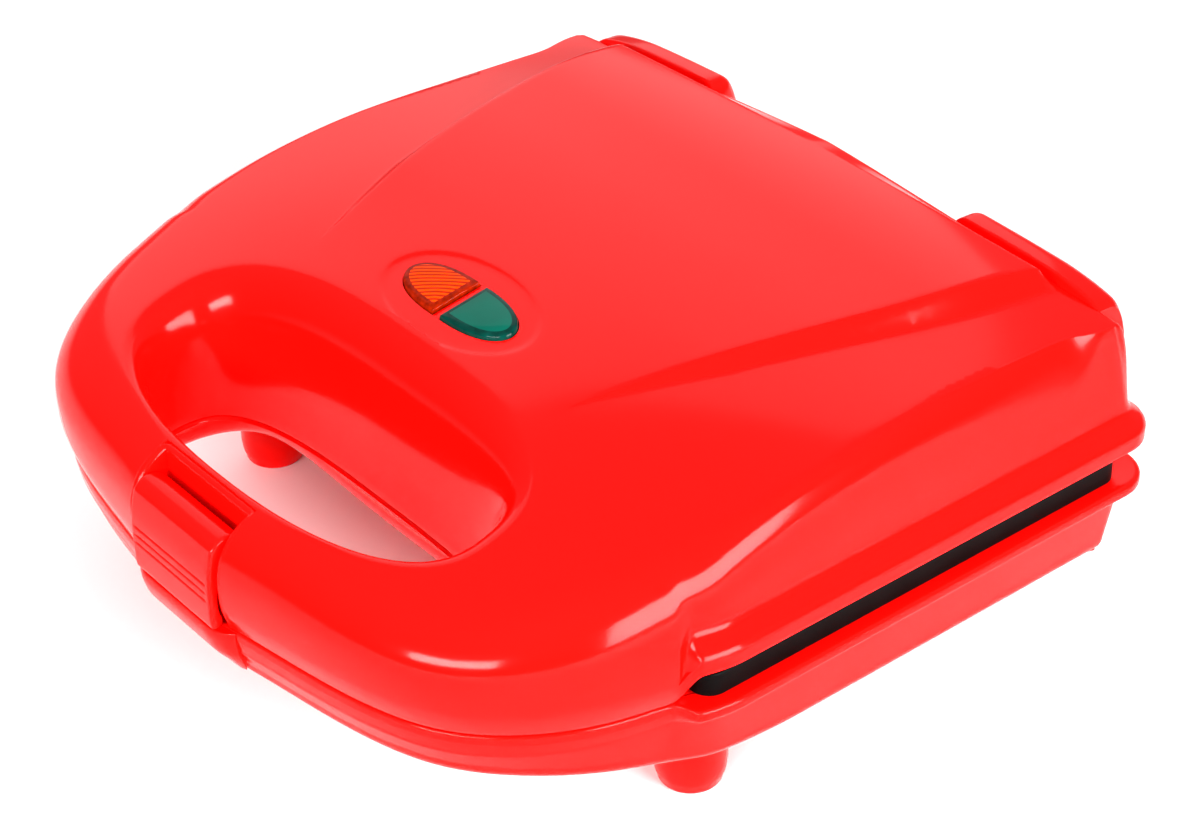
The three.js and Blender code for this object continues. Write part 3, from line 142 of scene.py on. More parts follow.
# Latch notch
NOTCH_HALF = 17.1
NOTCH_REAR = -96.2
NOTCH_FOOT = PARTING + 0.8
BEAD_SUNK = 0.94

# Windows
LENS_CENTRE_Y = -22.5
LENS_HALF_WIDTH = 20.0
LENS_HALF_DEPTH = 7.2
LENS_SPLIT = 1.4
LENS_PROUD = 0.9
DISH = (26.0, 14.5, 0.5)
DISH_EDGE = (0.9, 1.04)

# Angle between faces, in degrees, above which the edge between them stays sharp
SHARP = {"lid": 38, "hinge": 40, "window": 50, "latch": 50, "base": 50, "chin": 45, "foot": 50,
         "plate": 40, "screw": 35}

# How many points a curve gets
OUTLINE_SAMPLES = 600
REAR_CORNER_STEPS = 24
HOLE_STATIONS = 260
WALL_STEPS = 34
SHOULDER_STEPS = 22
SCOOP_STEPS = 24
LENS_HOLE_STATIONS = 48
PROFILE_SPACING, PROFILE_STEPS, EDGE_RINGS = 1.6, 40, 6
BEAD_SIDES = 14
ROD_SIDES = 40

# Distances between the lid's mesh points, round its outline and on its top, and the share of them that the
# lid is built with
LID_SPACING, TOP_SPACING, FULL_SHARE = 2.2, 2.6, 0.7

# The solids were moved so that the body's middle lies over the origin.
MIDDLE_Y = PLATE_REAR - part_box("lower_plate")[1].y / MM


# ---------------------------------------------------------------- numbers
def mix(a, b, share):
    """The value at a share of the way from a to b."""
    return a + (b - a) * share


def ease(value, low, high):
    """A share from 0 to 1 between low and high, with very soft ends."""
    share = np.clip((np.asarray(value, float) - low) / (high - low), 0, 1)
    return share * share * share * (share * (share * 6 - 15) + 10)


def quarter_turns(steps):
    """The angles of a quarter turn's steps, without its start."""
    return [step / steps * math.pi / 2 for step in range(1, steps + 1)]


def ease_soft(value, low, high):
    """A share from 0 to 1 between low and high, with soft ends."""
    share = np.clip((np.asarray(value, float) - low) / (high - low), 0, 1)
    return share * share * (3 - 2 * share)


def hermite(t, start, end, leaving, arriving, step=1):
    """A cubic from start to end with the given directions there, t from 0 to 1."""
    return ((2 * t ** 3 - 3 * t ** 2 + 1) * start + (t ** 3 - 2 * t ** 2 + t) * step * leaving
            + (-2 * t ** 3 + 3 * t ** 2) * end + (t ** 3 - t ** 2) * step * arriving)


def unit(rows):
    """Each row with a length of one."""
    return rows / np.linalg.norm(rows, axis=1)[:, None]


def closed_turn(count):
    """Angles round a full turn, without its end."""
    return np.arange(count) / count * 2 * math.pi


def raised(plan, height):
    """Points seen from above, at one height or each at its own."""
    return np.column_stack([plan, np.broadcast_to(height, len(plan))])


def clamped_spline(points, start, end):
    """Cubic spline through points, by chord length, with given end directions."""
    points = np.asarray(points, float)
    steps = np.linalg.norm(np.diff(points, axis=0), axis=1)
    knots = np.concatenate([[0], np.cumsum(steps)])
    count = len(points)
    matrix = np.zeros((count, count))
    right = np.zeros((count, 2))
    matrix[0, 0] = matrix[-1, -1] = 1
    right[0], right[-1] = start, end
    for i in range(1, count - 1):
        before, after = steps[i - 1], steps[i]
        matrix[i, i - 1:i + 2] = after, 2 * (before + after), before
        right[i] = 3 * (after / before * (points[i] - points[i - 1])
                        + before / after * (points[i + 1] - points[i]))
    tangents = np.linalg.solve(matrix, right)

    def at(place):
        place = np.clip(np.asarray(place, float), 0, knots[-1])
        i = np.clip(np.searchsorted(knots, place, side="right") - 1, 0, count - 2)
        h = steps[i][:, None]
        t = ((place - knots[i]) / steps[i])[:, None]
        return hermite(t, points[i], points[i + 1], tangents[i], tangents[i + 1], h)
    return at, knots[-1]


def spread(points, spacing):
    """The polyline's points again, evenly spaced, its ends kept."""
    points = np.asarray(points, float)
    run = np.concatenate([[0], np.cumsum(np.linalg.norm(np.diff(points, axis=0), axis=1))])
    count = max(2, int(round(run[-1] / spacing)) + 1)
    places = np.linspace(0, run[-1], count)
    return np.stack([np.interp(places, run, points[:, k]) for k in range(points.shape[1])], axis=1)


def rows_between(rows, count):
    """A smooth row of values through a short table, by an interpolating cubic that doesn't overshoot."""
    rows = np.asarray(rows, float)
    known = np.arange(len(rows))
    slopes = np.diff(rows, axis=0)
    tangents = np.zeros_like(rows)
    tangents[0], tangents[-1] = slopes[0], slopes[-1]
    for i in range(1, len(rows) - 1):
        same = slopes[i - 1] * slopes[i] > 0
        total = slopes[i - 1] + slopes[i]
        tangents[i] = np.where(same, 2 * slopes[i - 1] * slopes[i] / np.where(total == 0, 1, total), 0)
    places = np.linspace(0, len(rows) - 1, count)
    i = np.clip(places.astype(int), 0, len(rows) - 2)
    t = (places - known[i])[:, None]
    return hermite(t, rows[i], rows[i + 1], tangents[i], tangents[i + 1])


# ---------------------------------------------------------------- plan outline
def half_outline(spacing):
    """The right half of the wall's outline, from the handle's middle to the rear's."""
    points = [(across * WALL_HALF_WIDTH, -HANDLE_START - along * (FRONT_REACH - HANDLE_START))
              for across, along in FRONT_OUTLINE_SHARES]
    at, length = clamped_spline(points, (1, 0), (0, 1))
    front = at(np.linspace(0, length, OUTLINE_SAMPLES))
    turn = np.linspace(0, math.pi / 2, REAR_CORNER_STEPS)
    side_end = WALL_REAR - REAR_CORNER
    corner = np.stack([WALL_HALF_WIDTH - REAR_CORNER * (1 - np.cos(turn)),
                       side_end + REAR_CORNER * np.sin(turn)], axis=1)
    tip = np.argmin(np.abs(front[:, 1] - (PLATE_FRONT - FLANGE_END)))
    fine, coarse = spacing * 0.5, spacing * 1.5
    pieces = [spread(front[:tip + 1], spacing), spread(front[tip:], fine),
              spread([front[-1], (WALL_HALF_WIDTH, side_end)], coarse), spread(corner, fine),
              spread([corner[-1], (0, WALL_REAR)], coarse)]
    joined = [pieces[0]] + [piece[1:] for piece in pieces[1:]]
    return np.concatenate(joined)


def whole(half):
    """An outline and its mirror image, as one loop."""
    mirrored = half[1:-1][::-1] * [-1, 1]
    return np.concatenate([half, mirrored])


class Outline:
    """Wall outline with its outward directions, and how far each station is side, rear and front."""

    def __init__(self, spacing):
        self.points = whole(half_outline(spacing))
        ahead = unit(np.roll(self.points, -1, axis=0) - np.roll(self.points, 1, axis=0))
        self.normals = np.stack([ahead[:, 1], -ahead[:, 0]], axis=1)
        x, y = np.abs(self.points[:, 0]), self.points[:, 1]
        side_end = WALL_REAR - REAR_CORNER
        self.flange = ease(y, PLATE_FRONT - FLANGE_RUN[0], PLATE_FRONT - FLANGE_RUN[1])
        self.rear = ease(y, side_end, WALL_REAR - 1) * ease(WALL_HALF_WIDTH - x, 0, REAR_CORNER)
        front = mix(FRONT_SHOULDER, CORNER_SHOULDER, ease(x, 0, WALL_HALF_WIDTH * 0.8))
        side = mix(CORNER_SHOULDER, SHOULDER_REACH, ease(y, -FRONT_REACH * 0.6, 0))
        ahead_part = np.where(y < -FRONT_REACH * 0.5, front, side)
        self.reach = mix(ahead_part, REAR_SHOULDER, ease(y, side_end - CORNER_RUN, side_end))
        self.edge = SHOULDER_EDGE * ease(y, 0, side_end) * (1 - self.rear)
        self.bulge = mix(FRONT_BULGE, 0, self.flange)
        self.start = mix(LID_FRONT_WALL_START, LID_WALL_START, self.flange)

    def offset(self, distance):
        return self.points + self.normals * np.asarray(distance, float).reshape(-1, 1)


# ---------------------------------------------------------------- lid surfaces
def ridge(y):
    """Heights of the lid's middle line and of its outer edge at y."""
    fall = FRONT_FALL * (np.maximum(0, CREST[0] - y) / (CREST[0] + FRONT_REACH - SHOULDER_REACH)) ** 2
    drop = REAR_FALL * (np.maximum(0, y - CREST[1]) / (WALL_REAR - CREST[1])) ** 2
    along = np.clip((y + FRONT_REACH) / (WALL_REAR + FRONT_REACH), 0, 1)
    return LID_TOP - fall - drop, WING_HEIGHT - fall + WING_SWELL * np.sin(along * math.pi)


def rise_share(y, run_share):
    """How much of the change from the handle's single curve to the panel and wings is done at y."""
    return ease_soft(y, CREASE_TIP[1] - CREASE_WIDTH, mix(CREASE_TIP[1], CREASE_REAR[1], run_share))


def wing_surface(x, y):
    """Height of the lid's arch from wing to wing."""
    middle, wing = ridge(y)
    return middle - (middle - wing) * (np.abs(x) / WING_EDGE) ** (WING_POWER - rise_share(y, WING_RUN_SHARE))


def panel_surface(x, y):
    """Height of the raised panel, which grows out of the arch behind the handle."""
    middle, _ = ridge(y)
    crown = middle - PANEL_CROWN * (x / CREASE_REAR[0]) ** 2
    return mix(wing_surface(x, y), crown, rise_share(y, PANEL_RUN_SHARE))


def crease_share(y):
    """How far along the crease y is, from its tip to the rear."""
    return np.clip((np.asarray(y, float) - CREASE_TIP[1]) / (CREASE_REAR[1] - CREASE_TIP[1]), 0, 1)


def crease_x(y):
    """The crease's distance from the middle at y."""
    share = crease_share(y)
    bow = CREASE_BOW * 4 * share ** CREASE_BOW_POWER * (1 - share)
    return mix(CREASE_TIP[0], CREASE_REAR[0], share) + bow


def crease_width(y):
    """Width of the step beside the panel, which opens from the tip backwards."""
    return CREASE_WIDTH * np.clip(crease_share(y) / WIDTH_RUN_SHARE, 0.04, 1)


def dish_drop(x, y):
    """How far the shallow dish round the windows lies under the panel."""
    across, along, depth = DISH
    ring = np.hypot(x / across, (y - LENS_CENTRE_Y) / along)
    return depth * (1 - ease(ring, *DISH_EDGE))


def lid_top(x, y):
    """Height of the lid inside its shoulder: the raised panel, the step down at its edge and the wings."""
    x, y = np.asarray(x, float), np.asarray(y, float)
    width = crease_width(y)
    beside = soft_step((np.abs(x) - crease_x(y)) / width, CREASE_ROUND / width)
    behind = soft_step((y - CREASE_REAR[1] + CREASE_WIDTH) / CREASE_WIDTH, CREASE_ROUND / CREASE_WIDTH)
    return mix(panel_surface(x, y), wing_surface(x, y), np.maximum(beside, behind)) - dish_drop(x, y)


def soft_step(value, rounding):
    """A ramp from 0 to 1 with rounded ends."""
    rounding = np.minimum(rounding, 0.45)
    low = np.clip((value + rounding) / (2 * rounding), 0, 1)
    high = np.clip((1 - value + rounding) / (2 * rounding), 0, 1)
    start = rounding * low ** 2
    end = 1 - rounding * high ** 2
    middle = np.clip(value, 0, 1)
    return np.where(value < rounding, start, np.where(value > 1 - rounding, end, middle))


# ---------------------------------------------------------------- hand hole
def hole_loop(side=0.0, far=0.0, near=0.0, square=0.0):
    """Plan outline of the hand hole, grown by its own reach at each side.

    The third array says how far each point is from the near side, from 0 to 1.
    """
    turn = closed_turn(HOLE_STATIONS)
    power = HOLE_POWER + square
    across = np.sign(np.cos(turn)) * np.abs(np.cos(turn)) ** (2 / power)
    along = np.sign(np.sin(turn)) * np.abs(np.sin(turn)) ** (2 / power)
    share = (1 + np.sin(turn)) / 2
    x = (HOLE_HALF_WIDTH + side) * across
    y = HOLE_CENTRE + (HOLE_HALF_DEPTH + np.where(along > 0, far, near)) * along + HOLE_BOW * across ** 2
    return x, y, share


# ---------------------------------------------------------------- mesh helpers
class Sheet:
    """Vertices in millimetres and faces, gathered before they become a mesh."""

    def __init__(self):
        self.vertices = []
        self.faces = []

    def add(self, points):
        start = len(self.vertices)
        self.vertices.extend(np.asarray(points, float).tolist())
        return np.arange(start, len(self.vertices))

    def skin(self, rings, turned=False):
        """Adds closed rings of equal counts with faces between them, and gives back their indices."""
        ids = [self.add(ring) for ring in rings]
        for pair in zip(ids[:-1], ids[1:]):
            lower, upper = pair[::-1] if turned else pair
            for i in range(len(lower)):
                j = (i + 1) % len(lower)
                self.faces.append((int(lower[i]), int(lower[j]), int(upper[j]), int(upper[i])))
        return ids

    def plan(self, ids):
        """Where the vertices are, seen from above."""
        return np.array(self.vertices)[ids][:, :2]

    def fill(self, loops, inner_points, height, lines=(), turned=False):
        """Triangles between closed loops (the first is the outside), through inner points and along lines.

        Loops are index arrays of vertices that are already there.
        """
        flat = [self.vertices[i][:2] for loop in loops for i in loop]
        index = [int(i) for loop in loops for i in loop]
        edges = []
        start = 0
        for loop in loops:
            count = len(loop)
            edges += [(start + i, start + (i + 1) % count) for i in range(count)]
            start += count
        points = [Vector(p) for p in flat]
        for line in lines:
            first = len(points)
            points += [Vector(p) for p in line]
            edges += [(first + i, first + i + 1) for i in range(len(line) - 1)]
        points += [Vector(p) for p in inner_points]
        made, _, triangles, origin, _, _ = delaunay_2d_cdt(points, edges, [], 0, 1e-4)
        made = np.array([tuple(p) for p in made])
        triangles = np.array([t for t in triangles if len(t) == 3])
        centres = made[triangles].mean(axis=1)
        keep = inside(np.array(flat[:len(loops[0])]), centres)
        start = len(loops[0])
        for loop in loops[1:]:
            keep &= ~inside(np.array(flat[start:start + len(loop)]), centres)
            start += len(loop)
        place = {}
        heights = height(made[:, 0], made[:, 1])
        for i, sources in enumerate(origin):
            known = [s for s in sources if s < len(flat)]
            if known:
                place[i] = index[known[0]]
        for triangle in triangles[keep]:
            ids = []
            for i in triangle:
                i = int(i)
                if i not in place:
                    place[i] = len(self.vertices)
                    self.vertices.append([made[i][0], made[i][1], float(heights[i])])
                ids.append(place[i])
            a, b, c = (np.array(self.vertices[k][:2]) for k in ids)
            up = (b[0] - a[0]) * (c[1] - a[1]) - (b[1] - a[1]) * (c[0] - a[0]) > 0
            self.faces.append(tuple(ids if up != turned else ids[::-1]))

    def to_object(self, name):
        return placed(name, new_mesh(name, self.vertices, self.faces))


def new_mesh(name, vertices, faces):
    """A mesh in metres, with its middle over the origin, from millimetres in the part's own frame."""
    mesh = bpy.data.meshes.new(name)
    mesh.from_pydata([(x * MM, (y - MIDDLE_Y) * MM, z * MM) for x, y, z in vertices], [], faces)
    mesh.update()
    return mesh


def placed(name, data):
    """A new object of the scene."""
    made = bpy.data.objects.new(name, data)
    bpy.context.scene.collection.objects.link(made)
    return made


def inside(polygon, points):
    """Whether each point lies in the polygon."""
    result = np.zeros(len(points), bool)
    x, y = points[:, 0], points[:, 1]
    ax, ay = polygon[:, 0], polygon[:, 1]
    bx, by = np.roll(ax, -1), np.roll(ay, -1)
    for i in range(len(polygon)):
        crosses = (ay[i] > y) != (by[i] > y)
        if not crosses.any():
            continue
        # Width of the band of painted shade along the edge of each window
        slope = (bx[i] - ax[i]) / (by[i] - ay[i]) if by[i] != ay[i] else 0
        result ^= crosses & (x < ax[i] + (y - ay[i]) * slope)
    return result


def distance_along(line, points):
    """Distance from each point to a line through several points."""
    best = np.full(len(points), 1e9)
    for a, b in zip(line[:-1], line[1:]):
        step = b - a
        share = np.clip(((points - a) @ step) / max(step @ step, 1e-9), 0, 1)
        best = np.minimum(best, np.linalg.norm(points - a - share[:, None] * step, axis=1))
    return best


def distance_to(polygon, points):
    """Distance from each point to a closed polygon."""
    return distance_along(np.concatenate([polygon, polygon[:1]]), points)


def lattice(outer, holes, lines, spacing):
    """Points of a hexagonal lattice inside outer and outside holes, kept clear of every edge and line."""
    clear = spacing * 0.45
    low, high = outer.min(axis=0), outer.max(axis=0)
    rows = np.arange(low[1], high[1], spacing * math.sqrt(3) / 2)
    columns = np.arange(low[0], high[0], spacing)
    points = np.array([(x + (spacing / 2 if r % 2 else 0), y)
                       for r, y in enumerate(rows) for x in columns])
    points = points[inside(outer, points)]
    for hole in holes:
        points = points[~inside(hole, points)]
    for edge in [outer, *holes]:
        points = points[distance_to(edge, points) > clear]
    for line in lines:
        points = points[distance_along(np.asarray(line, float), points) > clear * 0.8]
    return points


def smooth_faces(piece, kind):
    """Shades a piece as smooth up to its kind's angle, and gives it back."""
    piece.data.shade_smooth()
    piece.data.set_sharp_from_angle(angle=math.radians(SHARP[kind]))
    return piece


def thicken(piece, thickness):
    """Gives an open skin its wall thickness, inwards."""
    shell = piece.modifiers.new("Wall", "SOLIDIFY")
    shell.thickness = thickness * MM
    shell.offset = -1
    shell.use_even_offset = False
    shell.use_quality_normals = True
    apply_modifiers(piece)


def apply_modifiers(piece):
    """Replaces a piece's mesh by what its modifiers make of it."""
    graph = bpy.context.evaluated_depsgraph_get()
    mesh = bpy.data.meshes.new_from_object(piece.evaluated_get(graph), depsgraph=graph)
    piece.modifiers.clear()
    old = piece.data
    piece.data = mesh
    mesh.name = piece.name
    bpy.data.meshes.remove(old)


# ---------------------------------------------------------------- upper housing
# How far out and how high the wall is, from its bottom edge upwards
SIDE_ROWS = [(-2.5, 52.6), (3.4, LID_SIDE_EDGE), (4.6, 52.5), (5.0, 53.3), (5.0, 56.0), (4.2, 57.6),
             (2.3, 59.2), (0.7, 60.8), (0.0, LID_WALL_START)]
FRONT_ROWS = [(-2.4, 43.1), (-0.7, 42.7), (-0.2, 42.8), (0.15, 43.3), (0.8, 45.0), (1.5, 47.2),
              (2.05, 49.6), (2.3, 52.2), (FRONT_BULGE, LID_FRONT_WALL_START)]


def lid_rings(outline, steps=SHOULDER_STEPS):
    """The lid's outer skin from its bottom edge to the inner end of its shoulder, as rings."""
    side = rows_between(SIDE_ROWS, WALL_STEPS)
    front = rows_between(FRONT_ROWS, WALL_STEPS)
    rings = []
    for (side_out, side_z), (front_out, front_z) in zip(side, front):
        plan = outline.offset(mix(front_out, side_out, outline.flange))
        rings.append(raised(plan, mix(front_z, side_z, outline.flange)))
    for step in range(1, steps + 1):
        share = 1 - (1 - step / steps) ** SHOULDER_EASE
        turn = share * math.pi / 2
        inward = mix(1 - math.cos(turn) ** SHOULDER_POWER, share, outline.edge)
        rise = mix(math.sin(turn) ** SHOULDER_POWER, share, outline.edge)
        plan = outline.offset(outline.bulge - outline.reach * inward)
        top = wing_surface(plan[:, 0], plan[:, 1])
        rings.append(raised(plan, mix(outline.start, top, rise)))
    return rings


def front_profile(across):
    """The lid's front as (y, z) points from its bottom edge upwards, at one distance from the middle."""
    rings = lid_rings(Outline(PROFILE_SPACING), PROFILE_STEPS)
    points = []
    for ring in rings[EDGE_RINGS:]:
        front = ring[ring[:, 1] < -NOTCH_HALF * 3]
        front = front[np.argsort(front[:, 0])]
        points.append([np.interp(across, front[:, 0], front[:, axis]) for axis in (1, 2)])
    return np.array(points)


def sunk(points, depth):
    """The profile moved into the wall by a depth."""
    ahead = unit(np.gradient(points, axis=0))
    return points + np.column_stack([ahead[:, 1], -ahead[:, 0]]) * depth


def lid_sheet(spacing, top_spacing):
    """The lid's outer skin with its hand hole and window holes, as an open sheet."""
    outline = Outline(spacing)
    sheet = Sheet()
    outer = sheet.skin(lid_rings(outline))[-1]
    # The hole, from its bottom edge up to the scoop's rim
    rings = []
    x, y, far = hole_loop()
    depth = mix(HOLE_DEPTH["near"], HOLE_DEPTH["far"], far)
    rim = PARTING + PARTING_GAP
    for grow, lift in LID_HOLE_EDGE:
        gx, gy, _ = hole_loop(grow, grow, grow)
        rings.append(raised(np.column_stack([gx, gy]), rim + lift))
    start = wing_surface(x, y) - depth
    for share in np.linspace(0, 1, 8):
        rings.append(np.column_stack([x, y, mix(rim + HOLE_EDGE_HEIGHT, start, share)]))
    for turn in quarter_turns(SCOOP_STEPS):
        share = 1 - math.cos(turn)
        gx, gy, _ = hole_loop(*(HOLE_FLARE[k] * share for k in ("side", "far", "near")))
        rings.append(np.column_stack([gx, gy, wing_surface(gx, gy) - depth * (1 - math.sin(turn))]))
    holes = [sheet.skin(rings, turned=True)[-1]]
    for side in (1, -1):
        loop = lens_loop(side, FIT_GAP, LENS_HOLE_STATIONS)
        holes.append(sheet.add(raised(loop, lid_top(loop[:, 0], loop[:, 1]))))
    lines = crease_lines()
    points = lattice(sheet.plan(outer), [sheet.plan(hole) for hole in holes], lines, top_spacing)
    sheet.fill([outer, *holes], points, lid_top, lines)
    return sheet


# Lines along the step: their share of its width, and how many edge roundings away they run
CREASE_LINES = [(0, -9), (0, -5), (0, -1), (0, 0), (0, 1), (0.5, 0), (1, -1), (1, 0), (1, 1),
                (1, 5), (1, 9)]
# Rings of lines across the dish's edge, as shares of its size
DISH_LINES = [0.9, 0.945, 0.97, 0.99, 1.01, 1.035, 1.08]


def crease_lines():
    """Mesh lines along the edges of the step round the panel and of the dish, so that they stay crisp."""
    lines = []
    rear = CREASE_REAR[1] - CREASE_WIDTH
    ys = np.linspace(CREASE_TIP[1] + 1.5, rear - 0.6, 96)
    width = crease_width(ys)
    scale = np.minimum(1, width / 1.5)
    for sign in (1, -1):
        for share, away in CREASE_LINES:
            x = crease_x(ys) + share * width + away * CREASE_ROUND * scale
            lines.append(np.column_stack([sign * x, ys]))
    turns = np.linspace(0, 2 * math.pi, 121)
    for ring in DISH_LINES:
        lines.append(np.column_stack([DISH[0] * ring * np.cos(turns),
                                      LENS_CENTRE_Y + DISH[1] * ring * np.sin(turns)]))
    for y in (rear - CREASE_ROUND, rear, rear + CREASE_ROUND, rear + 2, rear + 3.6):
        reach = float(crease_x(y)) - 1
        lines.append(spread([(-reach, y), (reach, y)], 2.0))
    return lines


def make_lid_shell(settings):
    """The lid with its wall thickness, its latch notch and the notch's rounded edge."""
    fine = FULL_SHARE
    piece = lid_sheet(LID_SPACING * fine, TOP_SPACING * fine).to_object("lid_shell")
    bead = settings.notch_round / MM
    half, rear = NOTCH_HALF + bead, NOTCH_REAR + bead
    cut_notch(piece, half, rear)
    thicken(piece, settings.wall / MM)
    walls = []
    for side in (1, -1):
        profile = sunk(front_profile(NOTCH_HALF + bead), bead)
        profile = profile[profile[:, 0] < rear + WALL]
        outline = [*map(tuple, profile), (rear + WALL, NOTCH_FOOT)]
        low, high = sorted((side * NOTCH_HALF, side * (NOTCH_HALF + WALL)))
        walls.append(prism("notch_side", outline, low, high))
    profile = sunk(front_profile(0), bead)
    top = float(np.interp(rear, profile[:, 0], profile[:, 1]))
    behind = NOTCH_REAR + WALL
    walls.append(prism("notch_rear", [(NOTCH_REAR, NOTCH_FOOT), (behind, NOTCH_FOOT), (behind, top + 0.8),
                                      (NOTCH_REAR, top)], -NOTCH_HALF, NOTCH_HALF))
    walls.append(notch_bead(bead))
    join(piece, walls)
    return smooth_faces(piece, "lid")


def cut_notch(piece, half, rear):
    """Takes the notch out of the lid's open skin."""
    build = bmesh.new()
    build.from_mesh(piece.data)
    level = (rear - MIDDLE_Y) * MM

    def near():
        faces = []
        for face in build.faces:
            centre = face.calc_center_median()
            if abs(centre.x) < half * 1.5 * MM and centre.y < level + 8 * MM:
                faces.append(face)
        return list({v for f in faces for v in f.verts}) + list({e for f in faces for e in f.edges}) + faces

    side, back = (1, 0, 0), (0, 1, 0)
    for point, normal in (((half * MM, 0, 0), side), ((-half * MM, 0, 0), side), ((0, level, 0), back)):
        bmesh.ops.bisect_plane(build, geom=near(), plane_co=point, plane_no=normal, dist=1e-7)
    gone = []
    for face in build.faces:
        centre = face.calc_center_median()
        if abs(centre.x) < half * MM and centre.y < level:
            gone.append(face)
    bmesh.ops.delete(build, geom=gone, context="FACES")
    build.to_mesh(piece.data)
    build.free()


def notch_bead(radius):
    """Rounded edge of the latch notch: a tube sunk into the lid along the notch's rim."""
    profile = sunk(front_profile(NOTCH_HALF + radius), radius * BEAD_SUNK)
    rear = NOTCH_REAR + radius
    profile = profile[profile[:, 0] < rear - 1.5]
    top = sunk(front_profile(0), radius * BEAD_SUNK)
    level = float(np.interp(rear, top[:, 0], top[:, 1]))
    side = [(NOTCH_HALF + radius, y, z) for y, z in profile]
    corner_end = (NOTCH_HALF - 1.0, rear, level)
    last = np.array(side[-1])
    knee = np.array((NOTCH_HALF + radius, rear - 0.1, level - 0.2))
    corner = [tuple((1 - t) ** 2 * last + 2 * t * (1 - t) * knee + t * t * np.array(corner_end))
              for t in np.linspace(0, 1, 9)[1:]]
    half = side + corner
    path = half + [(-x, y, z) for x, y, z in half[::-1]]
    return tube("notch_bead", np.array(path), radius, BEAD_SIDES)


# ---------------------------------------------------------------- closed shapes
def loft(name, sections):
    """A closed body through sections of equal counts, with flat ends."""
    count = len(sections[0])
    vertices = [tuple(point) for section in sections for point in section]
    faces = [tuple(range(count))[::-1], tuple(range(len(vertices) - count, len(vertices)))]
    for k in range(len(sections) - 1):
        for i in range(count):
            j = (i + 1) % count
            faces.append((k * count + i, k * count + j, (k + 1) * count + j, (k + 1) * count + i))
    mesh = new_mesh(name, vertices, faces)
    build = bmesh.new()
    build.from_mesh(mesh)
    bmesh.ops.recalc_face_normals(build, faces=build.faces)
    build.to_mesh(mesh)
    build.free()
    return placed(name, mesh)


def prism(name, outline, low, high):
    """An outline of (y, z) points, drawn out between two distances from the middle."""
    return loft(name, [[(x, y, z) for y, z in outline] for x in (low, high)])


def rod(name, radius, low, high, edge):
    """A round bar on the hinge's axis, with rounded ends."""
    turns = closed_turn(ROD_SIDES)
    sections = []
    for x, inset in ((low, edge), (low + edge * 0.3, edge * 0.3), (low + edge, 0), (high - edge, 0),
                     (high - edge * 0.3, edge * 0.3), (high, edge)):
        reach = radius - inset
        sections.append([(x, HINGE_Y + reach * math.cos(t), HINGE_Z + reach * math.sin(t)) for t in turns])
    return loft(name, sections)


def tube(name, path, radius, count):
    """A round section carried along a path."""
    ahead = unit(np.gradient(path, axis=0))
    side = unit(np.cross(ahead, (0.0, -0.7, 0.7)))
    up = np.cross(side, ahead)
    turns = closed_turn(count)
    return loft(name, [[tuple(p + radius * (s * math.cos(t) + u * math.sin(t))) for t in turns]
                       for p, s, u in zip(path, side, up)])


def carve(piece, other):
    """Takes another body out of a piece."""
    cut = piece.modifiers.new("Cut", "BOOLEAN")
    cut.operation = "DIFFERENCE"
    cut.solver = "EXACT"
    cut.object = other
    apply_modifiers(piece)
    bpy.data.objects.remove(other, do_unlink=True)


def join(piece, others):
    """Adds the other bodies' meshes to a piece."""
    build = bmesh.new()
    build.from_mesh(piece.data)
    for other in others:
        build.from_mesh(other.data)
        bpy.data.objects.remove(other, do_unlink=True)
    build.to_mesh(piece.data)
    build.free()


def gathered(name, bodies):
    """The hinge's bodies as one piece."""
    piece = bodies[0]
    piece.name = piece.data.name = name
    join(piece, bodies[1:])
    return smooth_faces(piece, "hinge")


def bevel(piece, width):
    """Rounds the edges that turn by more than 35 degrees."""
    edge = piece.modifiers.new("Edge", "BEVEL")
    edge.width = width * MM
    edge.segments = 3
    edge.limit_method = "ANGLE"
    edge.angle_limit = math.radians(35)
    apply_modifiers(piece)


# ---------------------------------------------------------------- hinge
HINGE_Y, HINGE_Z = 104.0, 56.0
COVER_START, COVER_WIDTH, COVER_DEPTH, COVER_FOOT, COVER_RISE = 45.0, 50.0, 9.0, 64.0, 26.0
# Place along the cover, and how far it reaches out and drops there, as shares
COVER_SECTIONS = [(0, 0.6, 0.154), (0.03, 0.85, 0.062), (0.1, 1, 0), (0.66, 1, 0.054),
                  (0.95, 0.98, 0.169), (1, 0.88, 0.231)]
# Shares of the cover's depth and rise, from its root over the top to its foot
COVER_PROFILE = [(-0.533, 0.692), (-0.333, 0.969), (0.111, 0.962), (0.422, 0.908), (0.711, 0.731),
                 (0.933, 0.423), (1, 0.192), (0.911, 0), (-0.533, 0)]
COVER_ROOT = -0.444
# Height and depth of the cover's hollow, from its foot and from the wall
HOLLOW_REAR, HOLLOW_FOOT, HOLLOW_TOP = 3.4, 9.0, 16.6
CHEEK, KNUCKLE, EAR, EAR_GAP, EAR_ROOT = 4.0, 6.2, 4.4, 3.0, 39.4
CHEEK_ROOT, CHEEK_END, CHEEK_TOP, HINGE_EDGE, EAR_EDGE = 99.6, 110.0, 65.0, 0.5, 0.6
COVER_STATIONS, COVER_ROWS = 41, 43
# The stem under an ear: shares of the ear's radius and of the way up to the axis
STEM = [(-0.68, 0), (0.32, 0), (0.727, 1), (-0.955, 1)]


